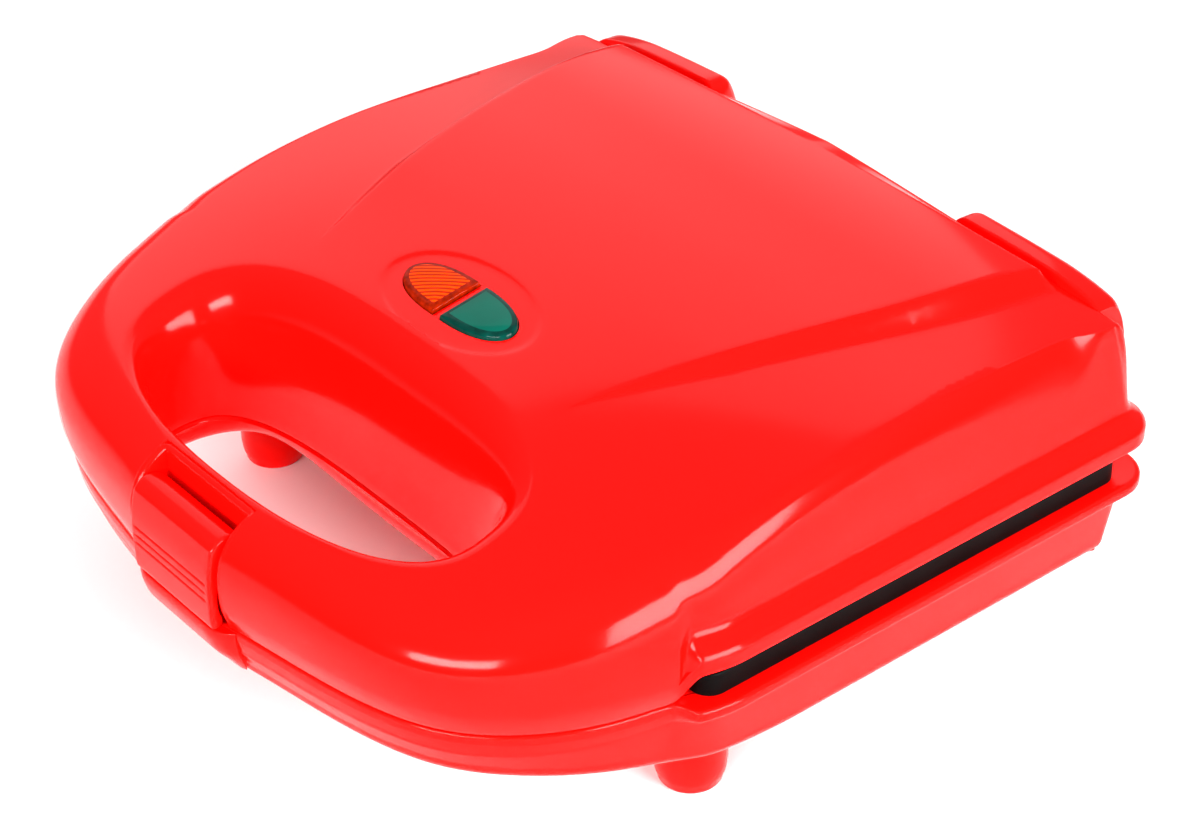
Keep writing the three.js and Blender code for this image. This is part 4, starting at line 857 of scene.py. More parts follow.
def cover_body(side):
    """One hinge cover as a full body."""
    across, reach, drop = rows_between(COVER_SECTIONS, COVER_STATIONS).T
    top = rows_between(COVER_PROFILE[:7], COVER_ROWS)
    profile = [*map(tuple, top), *rows_between(COVER_PROFILE[6:8], 4)[1:], COVER_PROFILE[8]]
    sections = []
    for a, r, d in zip(across, reach, drop):
        x = side * (COVER_START + COVER_WIDTH * a)
        section = []
        for out, up in profile:
            share = mix(COVER_ROOT, out, r) if out > COVER_ROOT else out
            section.append((x, WALL_REAR + COVER_DEPTH * share, COVER_FOOT + COVER_RISE * up * (1 - d)))
        sections.append(section)
    return loft("hinge_cover", sections)


def make_hinge_covers():
    """Both hinge covers, hollow underneath, with cheeks and knuckles at their ends."""
    bodies = []
    for side in (1, -1):
        low, high = sorted((side * COVER_START, side * (COVER_START + COVER_WIDTH)))
        cover = cover_body(side)
        root, foot, top = WALL_REAR - HOLLOW_REAR, COVER_FOOT - HOLLOW_FOOT, COVER_FOOT + HOLLOW_TOP
        end = WALL_REAR + COVER_DEPTH
        hollow = [(root, foot), (end + 6, foot), (end + 6, COVER_FOOT - 1.4), (end - 2.4, COVER_FOOT - 0.4),
                  (WALL_REAR + 6.6, COVER_FOOT + 6), (WALL_REAR + 4.0, top), (root, top)]
        carve(cover, prism("hollow", hollow, low + CHEEK, high - CHEEK))
        bodies.append(cover)
        for start in (low, high - CHEEK):
            side_view = [(CHEEK_ROOT, HINGE_Z), (HINGE_Y + KNUCKLE, HINGE_Z), (CHEEK_END, CHEEK_TOP),
                         (CHEEK_ROOT, CHEEK_TOP)]
            cheek = prism("cheek", side_view, start, start + CHEEK)
            bevel(cheek, HINGE_EDGE)
            bodies.append(cheek)
            bodies.append(rod("knuckle", KNUCKLE, start, start + CHEEK, HINGE_EDGE))
    return gathered("hinge_covers", bodies)


def make_hinge_ears():
    """The base's two ears between the cheeks of the covers."""
    bodies = []
    for side in (1, -1):
        low, high = sorted((side * COVER_START, side * (COVER_START + COVER_WIDTH)))
        low, high = low + CHEEK + EAR_GAP, high - CHEEK - EAR_GAP
        side_view = [(HINGE_Y + EAR * out, mix(EAR_ROOT, HINGE_Z, up)) for out, up in STEM]
        stem = prism("stem", side_view, low, high)
        bevel(stem, HINGE_EDGE)
        bodies += [stem, rod("ear", EAR, low, high, EAR_EDGE)]
    return gathered("hinge_ears", bodies)


# ---------------------------------------------------------------- windows
def lens_loop(side, grow, count):
    """Plan outline of one window, a half oval with a straight inner side, anticlockwise."""
    turn = np.linspace(-math.pi / 2, math.pi / 2, count)
    inner = LENS_SPLIT - grow
    x = inner + (LENS_HALF_WIDTH + grow - inner) * np.cos(turn) ** 0.8
    y = LENS_CENTRE_Y + (LENS_HALF_DEPTH + grow) * np.sin(turn)
    loop = np.column_stack([side * x, y])
    return loop if side > 0 else loop[::-1]


# The window's crown: how far in from its edge, and how far under its proud height
LENS_CROWN = [(0, 0.85), (0.25, 0.35), (0.8, 0.1), (2.2, -0.12), (4.2, -0.3), (6.2, -0.36)]
LENS_SKIRT = 2.2
LENS_STATIONS, CROWN_ROWS, RIM_STATIONS = 56, 16, 120


def make_lens(name, side):
    """One window with a soft crown, long enough to reach through the lid's wall."""
    sections = []
    foot = LENS_PROUD + WALL + LENS_SKIRT
    edge = [(0, foot), (0, LENS_PROUD + 0.4)]
    for inset, drop in edge + rows_between(LENS_CROWN, CROWN_ROWS).tolist():
        loop = lens_loop(side, -inset, LENS_STATIONS)
        sections.append(raised(loop, panel_surface(loop[:, 0], loop[:, 1]) + LENS_PROUD - drop))
    return smooth_faces(loft(name, sections), "window")


def paint_shading_at_rim(piece, side, width, material):
    """Gives the faces near the edge of a window their own, darker material, as painted shade along the
    window's rim.
    """
    piece.data.materials.append(bpy.data.materials[material])
    centres = np.array([face.center for face in piece.data.polygons])[:, :2] / MM + (0, MIDDLE_Y)
    near = distance_to(lens_loop(side, 0, RIM_STATIONS), centres) < width
    for face, rim in zip(piece.data.polygons, near):
        face.material_index = int(rim)


# ---------------------------------------------------------------- latch
LATCH_FRONT, PIN_Y, PIN_Z, LATCH_HALF, BARREL = -108.2, -102.0, 61.6, 16.6, 5.2
LATCH_FOOT, LATCH_WALL, LATCH_NOSE = 42.6, 2.6, 0.7
BARREL_TURN, BARREL_STATIONS = (258, 510), 90
LATCH_SPACING = 0.24
CORNER_CUTS = 3
# Sections at each end: steps of the rounded edge, and depths behind it, then those between the ends
EDGE_STEPS, END_DEPTHS, MIDDLE_STATIONS, END_SPACE = 7, [1.4, 2.0, 2.6], 40, 0.6
# How far behind the latch's front its face still counts as front
FACE_DEPTH = 0.35
GROOVES, GROOVE_START, GROOVE_PITCH = 3, 6.5, 2.3
GROOVE_HALF, GROOVE_DEPTH, GROOVE_MARGIN = 0.36, 0.4, 1.5


def latch_outline():
    """The latch's section as (y, z) points, evenly spaced, with its corners eased."""
    inner = LATCH_FRONT + LATCH_WALL
    turns = np.radians(np.linspace(*BARREL_TURN, BARREL_STATIONS))
    barrel = np.column_stack([PIN_Y + BARREL * np.cos(turns), PIN_Z + BARREL * np.sin(turns)])
    nose = inner + LATCH_NOSE
    bar = [(LATCH_FRONT + 0.5, PIN_Z - 2.0), (LATCH_FRONT, PIN_Z - 6.0), (LATCH_FRONT, LATCH_FOOT + 1.0),
           (LATCH_FRONT + 0.8, LATCH_FOOT), (inner - 0.4, LATCH_FOOT), (nose, LATCH_FOOT + 1.2),
           (nose, LATCH_FOOT + 3), (inner, LATCH_FOOT + 4), (inner, PIN_Z - 8.0)]
    points = np.array([tuple(barrel[-1]), *bar, tuple(barrel[0])])
    for _ in range(CORNER_CUTS):
        ahead = points[1:]
        before = points[:-1]
        cut = np.empty((2 * len(before), 2))
        cut[0::2], cut[1::2] = before * 0.75 + ahead * 0.25, before * 0.25 + ahead * 0.75
        points = np.vstack([points[:1], cut[1:-1], points[-1:]])
    return spread(np.vstack([barrel, points[1:]]), LATCH_SPACING)[:-1]


def make_latch(settings):
    """The latch as cross sections from end to end, with rounded ends and grip grooves in its front."""
    outline = latch_outline()
    ahead = unit(np.roll(outline, -1, axis=0) - np.roll(outline, 1, axis=0))
    inward = np.column_stack([-ahead[:, 1], ahead[:, 0]])
    edge = settings.latch_round / MM
    depths = np.concatenate([edge * (1 - np.cos(np.linspace(0, math.pi / 2, EDGE_STEPS))), END_DEPTHS])
    span = np.linspace(depths[-1] + END_SPACE, 2 * LATCH_HALF - depths[-1] - END_SPACE, MIDDLE_STATIONS)
    places = np.concatenate([depths, span, (2 * LATCH_HALF - depths)[::-1]]) - LATCH_HALF
    front = outline[:, 0] < LATCH_FRONT + FACE_DEPTH
    sections = []
    for x in places:
        away = min(LATCH_HALF - abs(x), edge)
        inset = edge - math.sqrt(max(0, edge ** 2 - (edge - away) ** 2))
        along = float(ease_soft(LATCH_HALF - GROOVE_MARGIN - abs(x), -0.4, 0.4))
        groove = np.zeros(len(outline))
        for i in range(GROOVES):
            middle = PIN_Z - GROOVE_START - i * GROOVE_PITCH
            groove = np.maximum(groove, np.clip(1 - np.abs(outline[:, 1] - middle) / GROOVE_HALF, 0, 1))
        sink = inset + np.where(front, groove * GROOVE_DEPTH * along, 0)
        moved = outline + inward * sink[:, None]
        sections.append([(x, y, z) for y, z in moved])
    return smooth_faces(loft("latch_body", sections), "latch")


# ---------------------------------------------------------------- lower housing
# How far out and how high the base's wall is, from its top edge downwards
BASE_SIDE_ROWS = [(-2.4, 42.0), (3.6, 42.4), (4.6, 42.1), (5.0, 41.2), (5.0, 40.0), (4.4, 39.0),
                  (2.6, 38.1), (0.6, 37.2), (0, 36.4)]
BASE_FRONT_ROWS = [(-2.8, 42.0), (-1.0, 42.4), (-0.3, 42.2), (0, 41.5), (0, 40.2), (-0.1, 39.4),
                   (-0.3, 38.3), (-0.5, 37.3), (-0.6, 36.4)]
BASE_ROWS = 30
BASE_WALL_STEPS = 7
BASE_LIP_STEPS = 6
FLOOR_EASE = (0, 20)
BASE_EDGE_STEPS = 10
BASE_HOLE_STEPS = 18
BASE_SPACING, FLOOR_SPACING = 1.8, 3.4
CHIN_SECTIONS = [(-1, 0.4), (-0.86, 0.8), (-0.6, 1), (0.6, 1), (0.86, 0.8), (1, 0.4)]
CHIN_PROFILE = [(0, 0), (0.931, 0), (1, 0.14), (0.793, 0.5), (0.241, 0.85), (0, 1)]
CHIN_ROWS, CHIN_STATIONS, CHIN_END_SHARE = 36, 31, 0.8
CHIN_ROOT, CHIN_REACH, CHIN_TOP, CHIN_DEPTH, CHIN_HALF = -102.0, 5.8, 42.0, 13.0, 20.0


def floor_edge(y):
    """Height of the base's floor at its rim."""
    return FLOOR + FLOOR_EDGE_RISE * ease_soft(-y, FLOOR_RISE_Y[0], FRONT_REACH - 14)


def base_sheet(spacing, floor_spacing):
    """The base's outer skin with its hand hole, as an open sheet."""
    outline = Outline(spacing)
    sheet = Sheet()
    rings = []
    for (side_out, side_z), (front_out, front_z) in zip(rows_between(BASE_SIDE_ROWS, BASE_ROWS),
                                                        rows_between(BASE_FRONT_ROWS, BASE_ROWS)):
        plan = outline.offset(mix(front_out, side_out, outline.flange))
        rings.append(raised(plan, mix(front_z, side_z, outline.flange)))
    edge_z = floor_edge(outline.points[:, 1])
    top_out = mix(BASE_FRONT_ROWS[-1][0], 0, outline.flange)
    for share in np.linspace(0, 1, BASE_WALL_STEPS)[1:]:
        plan = outline.offset(mix(top_out, -BASE_DRAFT, share))
        rings.append(raised(plan, mix(PARTING - 6, edge_z + BASE_EDGE_RADIUS, share)))
    for share in np.linspace(0, 1, BASE_EDGE_STEPS)[1:]:
        turn = (1 - share) * math.pi / 2
        plan = outline.offset(-BASE_DRAFT - BASE_EDGE_RADIUS * (1 - math.sin(turn)))
        rings.append(raised(plan, edge_z + BASE_EDGE_RADIUS * (1 - math.cos(turn))))
    outer = sheet.skin(rings, turned=True)[-1]
    rim = sheet.plan(outer)

    def floor(x, y):
        away = distance_to(rim, np.column_stack([x, y]))
        middle = FLOOR + FLOOR_RISE * ease_soft(-y, *FLOOR_RISE_Y)
        return mix(floor_edge(y), middle, ease_soft(away, *FLOOR_EASE))

    lip = PARTING - BASE_HOLE_LIP
    rings = []
    for grow, drop in BASE_HOLE_EDGE:
        gx, gy, _ = hole_loop(grow, grow, grow)
        rings.append(raised(np.column_stack([gx, gy]), PARTING - drop))
    for share in np.linspace(0, 1, BASE_LIP_STEPS):
        gx, gy, _ = hole_loop(BASE_HOLE_LIP_GROWTH * 2 * share, BASE_HOLE_LIP_GROWTH * share, 0,
                              BASE_HOLE_SQUARE * share)
        rings.append(raised(np.column_stack([gx, gy]), mix(PARTING - HOLE_EDGE_HEIGHT, lip, share)))
    for turn in quarter_turns(BASE_HOLE_STEPS):
        share = 1 - math.cos(turn)
        gx, gy, _ = hole_loop(mix(BASE_HOLE_LIP_GROWTH * 2, BASE_HOLE_FLARE["side"], share),
                              mix(BASE_HOLE_LIP_GROWTH, BASE_HOLE_FLARE["far"], share),
                              BASE_HOLE_FLARE["near"] * share, BASE_HOLE_SQUARE)
        rings.append(np.column_stack([gx, gy, mix(lip, floor(gx, gy), math.sin(turn))]))
    hole = sheet.skin(rings)[-1]
    points = lattice(rim, [sheet.plan(hole)], [], floor_spacing)
    sheet.fill([outer, hole], points, floor, turned=True)
    return sheet


def make_base_shell(settings):
    """The base with its wall thickness."""
    piece = base_sheet(BASE_SPACING, FLOOR_SPACING).to_object("base_shell")
    thicken(piece, settings.wall / MM)
    return smooth_faces(piece, "base")


def make_chin():
    """The bulge of the base under the latch, fuller in its middle than at its ends."""
    profile = rows_between(CHIN_PROFILE, CHIN_ROWS)
    sections = []
    for across, share in rows_between(CHIN_SECTIONS, CHIN_STATIONS):
        x, reach = across * CHIN_HALF, CHIN_REACH * share
        depth = CHIN_DEPTH * mix(CHIN_END_SHARE, 1, share)
        sections.append([(x, CHIN_ROOT - reach * out, CHIN_TOP - depth * drop) for out, drop in profile])
    return smooth_faces(loft("base_chin", sections), "chin")


FOOT_RADIUS = 9.0
FOOT_NODES = ("front_left_foot", "front_right_foot", "rear_left_foot", "rear_right_foot")
# Shares of the foot's radius and of the base floor's height
FOOT_SIDE = [(0.0, 0.0), (0.66, 0), (0.8, 0.012), (0.87, 0.05), (0.911, 0.126), (0.955, 0.2),
             (0.985, 0.3), (1, 0.4)]
FOOT_SUNK = 1.2
FOOT_SIDES, FOOT_ROWS = 64, 40


def make_foot(node):
    """One foot, round and soft below, at the place of the CAD's."""
    low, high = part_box(node)
    x, y = (low.x + high.x) / 2 / MM, (low.y + high.y) / 2 / MM + MIDDLE_Y
    height = high.z / MM + FOOT_SUNK
    turns = closed_turn(FOOT_SIDES)
    side = rows_between(FOOT_SIDE, FOOT_ROWS)
    sections = []
    for out, up in [*side[1:], (1, 1)]:
        level = up * FLOOR if up < 1 else height
        reach = FOOT_RADIUS * out
        sections.append([(x + reach * math.cos(t), y + reach * math.sin(t), level) for t in turns])
    return smooth_faces(loft(node + "_pad", sections), "foot")


# ---------------------------------------------------------------- plates
PLATE_CORNER, PLATE_EDGE, PLATE_SHEET, PLATE_SPACING = 5.0, 0.7, 2.0, 3.0
RIM_SHARE = 0.85
POCKET_DEPTH, POCKET_MARGIN, POCKET_BAR, POCKET_DRAFT, POCKET_CORNER = 9.0, 9.0, 9.0, 6.0, 7.0
RIDGE_HALF = 2.6
CORNER_POINTS, POCKET_EDGE_POINTS = 9, 12
PLATE_SEAM, LOWER_RIM, UPPER_RIM = 48.8, 42.7, 51.9


def divided(points, steps):
    """A closed loop again, each edge cut into as many steps as the function says."""
    closed = np.array(points + points[:1])
    out = [closed[0]]
    for i, (a, b) in enumerate(zip(closed[:-1], closed[1:])):
        count = steps(i, a, b)
        out += [mix(a, b, k / count) for k in range(1, count + 1)]
    return np.array(out[:-1])


def rounded_box(inset):
    """The plate's outline, moved inwards."""
    radius = max(PLATE_CORNER - inset, 1.0)
    half, front, rear = PLATE_HALF_WIDTH - inset, PLATE_FRONT + inset, PLATE_REAR - inset
    corners = [(half - radius, front + radius, -90), (half - radius, rear - radius, 0),
               (radius - half, rear - radius, 90), (radius - half, front + radius, 180)]
    points = []
    for cx, cy, start in corners:
        for turn in np.radians(np.linspace(start, start + 90, 10)):
            points.append((cx + radius * math.cos(turn), cy + radius * math.sin(turn)))
    return divided(points, lambda i, a, b: max(1, int(np.linalg.norm(b - a) / PLATE_SPACING)))


def pocket_corners():
    """The corners of the four triangular pockets, anticlockwise."""
    half = (PLATE_HALF_WIDTH - POCKET_MARGIN - POCKET_BAR / 2) / 2
    centre = POCKET_BAR / 2 + half
    low, high, slide = PLATE_FRONT + POCKET_MARGIN, PLATE_REAR - POCKET_MARGIN, RIDGE_HALF * 2
    pockets = []
    for side in (-1, 1):
        left, right = side * centre - half, side * centre + half
        pockets.append([(left, low), (right, low), (left, high - slide)])
        pockets.append([(right, low + slide), (right, high), (left, high)])
    return pockets


def pocket_loop(corners, inset):
    """A pocket's outline with rounded corners, moved inwards."""
    points = []
    corners = np.array(corners, float)
    for i in range(3):
        here, before, after = corners[i], corners[i - 1], corners[(i + 1) % 3]
        back = (before - here) / np.linalg.norm(before - here)
        on = (after - here) / np.linalg.norm(after - here)
        half = math.acos(np.clip(back @ on, -1, 1)) / 2
        inward = (back + on) / np.linalg.norm(back + on)
        apex = here + inward * inset / math.sin(half)
        run = POCKET_CORNER / math.tan(half)
        for t in np.linspace(0, 1, CORNER_POINTS):
            start, end = apex + back * run, apex + on * run
            points.append((1 - t) ** 2 * start + 2 * t * (1 - t) * apex + t * t * end)
    last = CORNER_POINTS - 1
    return divided(points, lambda i, a, b: POCKET_EDGE_POINTS if i % CORNER_POINTS == last else 1)


def pocket_steps():
    """How far in and how deep a pocket's side goes: a soft brim, a sloping wall and a round foot."""
    steps = [(-0.8, 0), (-0.35, 0.02), (0, 0.08)]
    steps += [(POCKET_DRAFT * 0.7 * t, mix(0.08, 0.75, t)) for t in (0.3, 0.6, 1)]
    for t in np.linspace(0.2, math.pi / 2, 7):
        steps.append((POCKET_DRAFT * (0.7 + 0.63 * math.sin(t)), mix(0.75, 1, math.sin(t) ** 0.8)))
    return steps


def make_plate(name, direction, seam, rim):
    """A plate's working face with its four pockets, and its rim. Direction 1 is the lower plate."""
    sheet = Sheet()
    side = [(0, rim), (0, mix(rim, seam, RIM_SHARE))]
    for t in np.linspace(0, math.pi / 2, 6):
        side.append((PLATE_EDGE * (1 - math.cos(t)), seam - direction * PLATE_EDGE * (1 - math.sin(t))))
    edge = sheet.skin([raised(rounded_box(inset), level) for inset, level in side])[-1]
    tops = []
    for corners in pocket_corners():
        rings = [raised(pocket_loop(corners, inset), seam - direction * POCKET_DEPTH * share)
                 for inset, share in pocket_steps()]
        top, *_, bottom = sheet.skin(rings, turned=True)
        middle = int(sheet.add([rings[-1].mean(axis=0)])[0])
        for a, b in zip(bottom, np.roll(bottom, -1)):
            sheet.faces.append((int(a), int(b), middle))
        tops.append(top)
    sheet.fill([edge, *tops], np.zeros((0, 2)), lambda x, y: np.full(len(x), float(seam)))
    if direction < 0:
        sheet.faces = [face[::-1] for face in sheet.faces]
    piece = sheet.to_object(name)
    thicken(piece, PLATE_SHEET)
    return smooth_faces(piece, "plate")


# ---------------------------------------------------------------- screws, by Geometry Nodes
# The node group's inputs: name, kind and default, in metres
SCREW_INPUTS = (("Points", "Geometry", None), ("Head Radius", "Float", 0.0029),
                ("Head Height", "Float", 0.0018), ("Shank Radius", "Float", 0.0013),
                ("Shank Length", "Float", 0.007), ("Slot Width", "Float", 0.0006),
                ("Turn", "Vector", None), ("Material", "Material", None))
SCREW_SIDES, SCREW_TURN = 32, 0.3


def feed(tree, socket, value):
    """Links another socket to this one, or sets its value."""
    if isinstance(value, bpy.types.NodeSocket):
        tree.links.new(value, socket)
    else:
        socket.default_value = value


def add_node(tree, kind, **inputs):
    """A new node with its inputs, whose names have an underscore for a space."""
    node = tree.nodes.new(kind)
    for name, value in inputs.items():
        feed(tree, node.inputs[name.replace("_", " ")], value)
    return node


def screw_tree():
    """A node group that puts a cross-head screw on each point of the mesh that it is given."""
    tree = bpy.data.node_groups.new("screw_set", "GeometryNodeTree")
    for socket, kind, default in SCREW_INPUTS:
        made = tree.interface.new_socket(name=socket, in_out="INPUT", socket_type="NodeSocket" + kind)
        if default is not None:
            made.default_value = default
    tree.interface.new_socket(name="Screws", in_out="OUTPUT", socket_type="NodeSocketGeometry")
    given = tree.nodes.new("NodeGroupInput").outputs
    out = tree.nodes.new("NodeGroupOutput")

    def times(value, factor):
        node = tree.nodes.new("ShaderNodeMath")
        node.operation = "MULTIPLY"
        feed(tree, node.inputs[0], value)
        feed(tree, node.inputs[1], factor)
        return node.outputs[0]

    def lifted(body, height):
        place = add_node(tree, "ShaderNodeCombineXYZ", Z=height)
        return add_node(tree, "GeometryNodeTransform", Geometry=body.outputs["Mesh"],
                        Translation=place.outputs[0]).outputs["Geometry"]

    def cylinder(radius, depth, height):
        body = add_node(tree, "GeometryNodeMeshCylinder", Vertices=SCREW_SIDES, Radius=radius, Depth=depth)
        return lifted(body, height)

    height, shank_length = given["Head Height"], given["Shank Length"]
    head = cylinder(given["Head Radius"], height, times(height, 0.5))
    shank = cylinder(given["Shank Radius"], shank_length, times(shank_length, -0.45))
    cut = add_node(tree, "GeometryNodeMeshBoolean", Mesh_1=head)
    cut.operation = "DIFFERENCE"
    for across, along in (("X", "Y"), ("Y", "X")):
        size = add_node(tree, "ShaderNodeCombineXYZ", **{
            across: times(given["Head Radius"], 1.2), along: given["Slot Width"], "Z": times(height, 1.2)})
        bar = add_node(tree, "GeometryNodeMeshCube", Size=size.outputs[0])
        feed(tree, cut.inputs["Mesh 2"], lifted(bar, times(height, 1.1)))
    screw = add_node(tree, "GeometryNodeJoinGeometry", Geometry=cut.outputs["Mesh"])
    feed(tree, screw.inputs["Geometry"], shank)
    copies = add_node(tree, "GeometryNodeInstanceOnPoints", Points=given["Points"],
                      Instance=screw.outputs["Geometry"], Rotation=given["Turn"])
    realised = add_node(tree, "GeometryNodeRealizeInstances", Geometry=copies.outputs["Instances"])
    coat = add_node(tree, "GeometryNodeSetMaterial", Geometry=realised.outputs["Geometry"],
                    Material=given["Material"])
    feed(tree, out.inputs["Screws"], coat.outputs["Geometry"])
    return tree


def make_screws(name, nodes, heads_up, settings, material):
    """The screws of one body that stand in for the CAD's, heads up or down, by the node group."""
    points = []
    for node in nodes:
        low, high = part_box(node)
        points.append(((low.x + high.x) / 2, (low.y + high.y) / 2, high.z - settings.screw_head if heads_up
                       else low.z + settings.screw_head))
    mesh = bpy.data.meshes.new(name)
    mesh.from_pydata(points, [], [])
    piece = placed(name, mesh)
    tree = bpy.data.node_groups.get("screw_set") or screw_tree()
    build = piece.modifiers.new("Screws", "NODES")
    build.node_group = tree
    low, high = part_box(nodes[0])
    values = {"Head Radius": (high.x - low.x) / 2, "Head Height": settings.screw_head,
              "Shank Radius": settings.screw_shank, "Shank Length": high.z - low.z - settings.screw_head,
              "Slot Width": settings.screw_slot, "Turn": (0.0 if heads_up else math.pi, 0.0, SCREW_TURN),
              "Material": material}
    for item in tree.interface.items_tree:
        if item.item_type == "SOCKET" and item.in_out == "INPUT" and item.name in values:
            build[item.identifier] = values[item.name]
    apply_modifiers(piece)
    return smooth_faces(piece, "screw")


# ---------------------------------------------------------------- materials
def shader(name, **sockets):
    """A new material, its node tree and its main shader."""
    material = bpy.data.materials.new(name)
    material.use_nodes = True
    tree = material.node_tree
    tree.nodes.clear()
    output = tree.nodes.new("ShaderNodeOutputMaterial")
    body = add_node(tree, "ShaderNodeBsdfPrincipled", **sockets)
    tree.links.new(body.outputs["BSDF"], output.inputs["Surface"])
    return material, tree, body


def colour_ramp(tree, factor, *steps):
    """The colour of a ramp of two (position, colour) steps."""
    ramp = add_node(tree, "ShaderNodeValToRGB", Fac=factor)
    for element, (position, shade) in zip(ramp.color_ramp.elements, steps):
        element.position = position
        element.color = (*shade, 1)
    return ramp.outputs["Color"]


def on_object(tree, **mapping):
    """Object coordinates, drawn out or turned."""
    place = tree.nodes.new("ShaderNodeTexCoord").outputs["Object"]
    return add_node(tree, "ShaderNodeMapping", Vector=place, **mapping).outputs["Vector"]


def mottled(name, colour, gloss, change=0.05, scale=38.0, grain=0.0, stretch=(1, 1, 1), **sockets):
    """A surface whose colour and gloss drift a little, with an optional fine grain."""
    _, tree, body = shader(name, **sockets)
    drawn = on_object(tree, Scale=stretch)
    cloud = add_node(tree, "ShaderNodeTexNoise", Scale=scale, Detail=4, Vector=drawn).outputs["Fac"]
    steps = [(position, tuple(min(1.0, channel * factor) for channel in colour))
             for position, factor in ((0.3, 1 - change), (0.7, 1 + change))]
    feed(tree, body.inputs["Base Color"], colour_ramp(tree, cloud, *steps))
    polish = add_node(tree, "ShaderNodeMapRange", To_Min=gloss * 0.85, To_Max=gloss * 1.15, Value=cloud)
    feed(tree, body.inputs["Roughness"], polish.outputs["Result"])
    if grain:
        speckle = add_node(tree, "ShaderNodeTexNoise", Scale=scale * GRAIN_FINENESS, Vector=drawn)
        relief = add_node(tree, "ShaderNodeBump", Strength=grain, Distance=GRAIN_DEPTH,
                          Height=speckle.outputs["Fac"])
        feed(tree, body.inputs["Normal"], relief.outputs["Normal"])


def ribbed_window(name, colour, dark, gloss):
    """A coloured window with the fine parallel lines of the diffuser under it."""
    _, tree, body = shader(name, Roughness=gloss, IOR=1.5, Specular_IOR_Level=0.02)
    turned = on_object(tree, Rotation=(0, 0, math.radians(RIB_TURN)))
    lines = add_node(tree, "ShaderNodeTexWave", Scale=RIB_SCALE, Vector=turned)
    lines.wave_type = "BANDS"
    lines.bands_direction = "X"
    feed(tree, body.inputs["Base Color"], colour_ramp(tree, lines.outputs["Fac"], (0, dark), (0.7, colour)))


# Each finish's colour, roughness, how much and how finely its colour drifts, its grain and stretch,
# and what else its shader is given
FINISHES = {
    # The two window edge finishes are painted shade: darker copies of the windows' colours, for their rims
    "orange_shade": ((0.24, 0.008, 0.0), 0.1, 0.4, 700, 0, (1, 1, 1), {"Specular_IOR_Level": 0.03}),
    "green_shade": ((0.0, 0.03, 0.022), 0.08, 0.4, 400, 0, (1, 1, 1), {"Specular_IOR_Level": 0.08}),
    "plate_coating": ((0.0014, 0.0014, 0.0014), 0.4, 0.3, 120, 0.1, (1, 1, 1),
                      {"Specular_IOR_Level": 0.03}),
    "black_rubber": ((0.012, 0.012, 0.012), 0.6, 0.25, 150, 0.4, (1, 1, 1), {}),
    "heater_steel": ((0.34, 0.33, 0.31), 0.32, 0.12, 220, 0.2, (1, 1, 1), {"Metallic": 1.0}),
    "tray_metal": ((0.62, 0.63, 0.65), 0.3, 0.06, 60, 0.15, (1, 14, 1), {"Metallic": 1.0}),
    "bright_steel": ((0.6, 0.6, 0.6), 0.22, 0.05, 260, 0.1, (12, 1, 1), {"Metallic": 1.0}),
    "cream_ceramic": ((0.78, 0.74, 0.64), 0.42, 0.05, 160, 0.2, (1, 1, 1), {}),
    "circuit_board": ((0.25, 0.16, 0.05), 0.5, 0.14, 240, 0.2, (1, 1, 1), {}),
    "orange_glass": ((0.85, 0.3, 0.06), 0.1, 0.05, 90, 0, (1, 1, 1), {"Transmission_Weight": 0.5}),
    "green_glass": ((0.1, 0.6, 0.3), 0.1, 0.05, 90, 0, (1, 1, 1), {"Transmission_Weight": 0.5}),
}
ORANGE_LINES = (0.3, 0.006, 0.0005)
# The ribs' scale and turn in degrees, and the depth in metres and fineness of a surface's grain
RIB_SCALE, RIB_TURN = 240, 51
GRAIN_DEPTH, GRAIN_FINENESS = 0.0002, 40


def make_materials(settings):
    mottled("moulded_red", tuple(settings.red), settings.gloss, 0.02, IOR=1.5, Specular_IOR_Level=0.1)
    ribbed_window("orange_window", tuple(settings.orange), ORANGE_LINES, 0.1)
    mottled("green_window", tuple(settings.green), 0.08, 0.1, 90, Specular_IOR_Level=0.08)
    for name, (colour, gloss, change, scale, grain, stretch, sockets) in FINISHES.items():
        mottled(name, colour, gloss, change, scale, grain, stretch, **sockets)


# The solids that show as the CAD made them, by finish
CAD_FINISHES = {
    "moulded_red": ("latch_catch", "lower_frame", "upper_frame", "upper_handle_cover"),
    "heater_steel": ("lower_element", "upper_element"),
    "tray_metal": ("lower_reflector", "upper_reflector"),
    "cream_ceramic": ("terminal_block", "thermal_fuse"),
    "bright_steel": ("latch_pin", "hinge_pin_left", "hinge_pin_right", "thermostat"),
    "circuit_board": ("lamp_board",),
    "orange_glass": ("orange_lamp",),
    "green_glass": ("green_lamp",),
    "black_rubber": ("cord_bushing",),
}


def dress(piece, material, body, *nodes):
    """Gives a piece its material and body, and the nodes that it stands in for."""
    piece.data.materials.clear()
    piece.data.materials.append(bpy.data.materials[material])
    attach(piece, body)
    if nodes:
        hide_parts(*nodes)


# ---------------------------------------------------------------- stage
# The camera's place and target in the part's own unshifted frame, its lens and its roll in degrees
CAMERA_PLACE = (478.0, -369.6, 453.0)
CAMERA_TARGET = (0.0, 20.24, 38.19)
CAMERA_LENS = 86.93
CAMERA_ROLL = -0.485
CAMERA_SENSOR = 36
FLOOR_SIZE = 6.0
HORIZON = 0.25
LAMP_TARGET = (0, 0, 0.05)


def aimed(place, target):
    """The matrix of something at a place that looks at a target."""
    place, target = Vector(place), Vector(target)
    return Matrix.Translation(place) @ (target - place).to_track_quat("-Z", "Y").to_matrix().to_4x4()


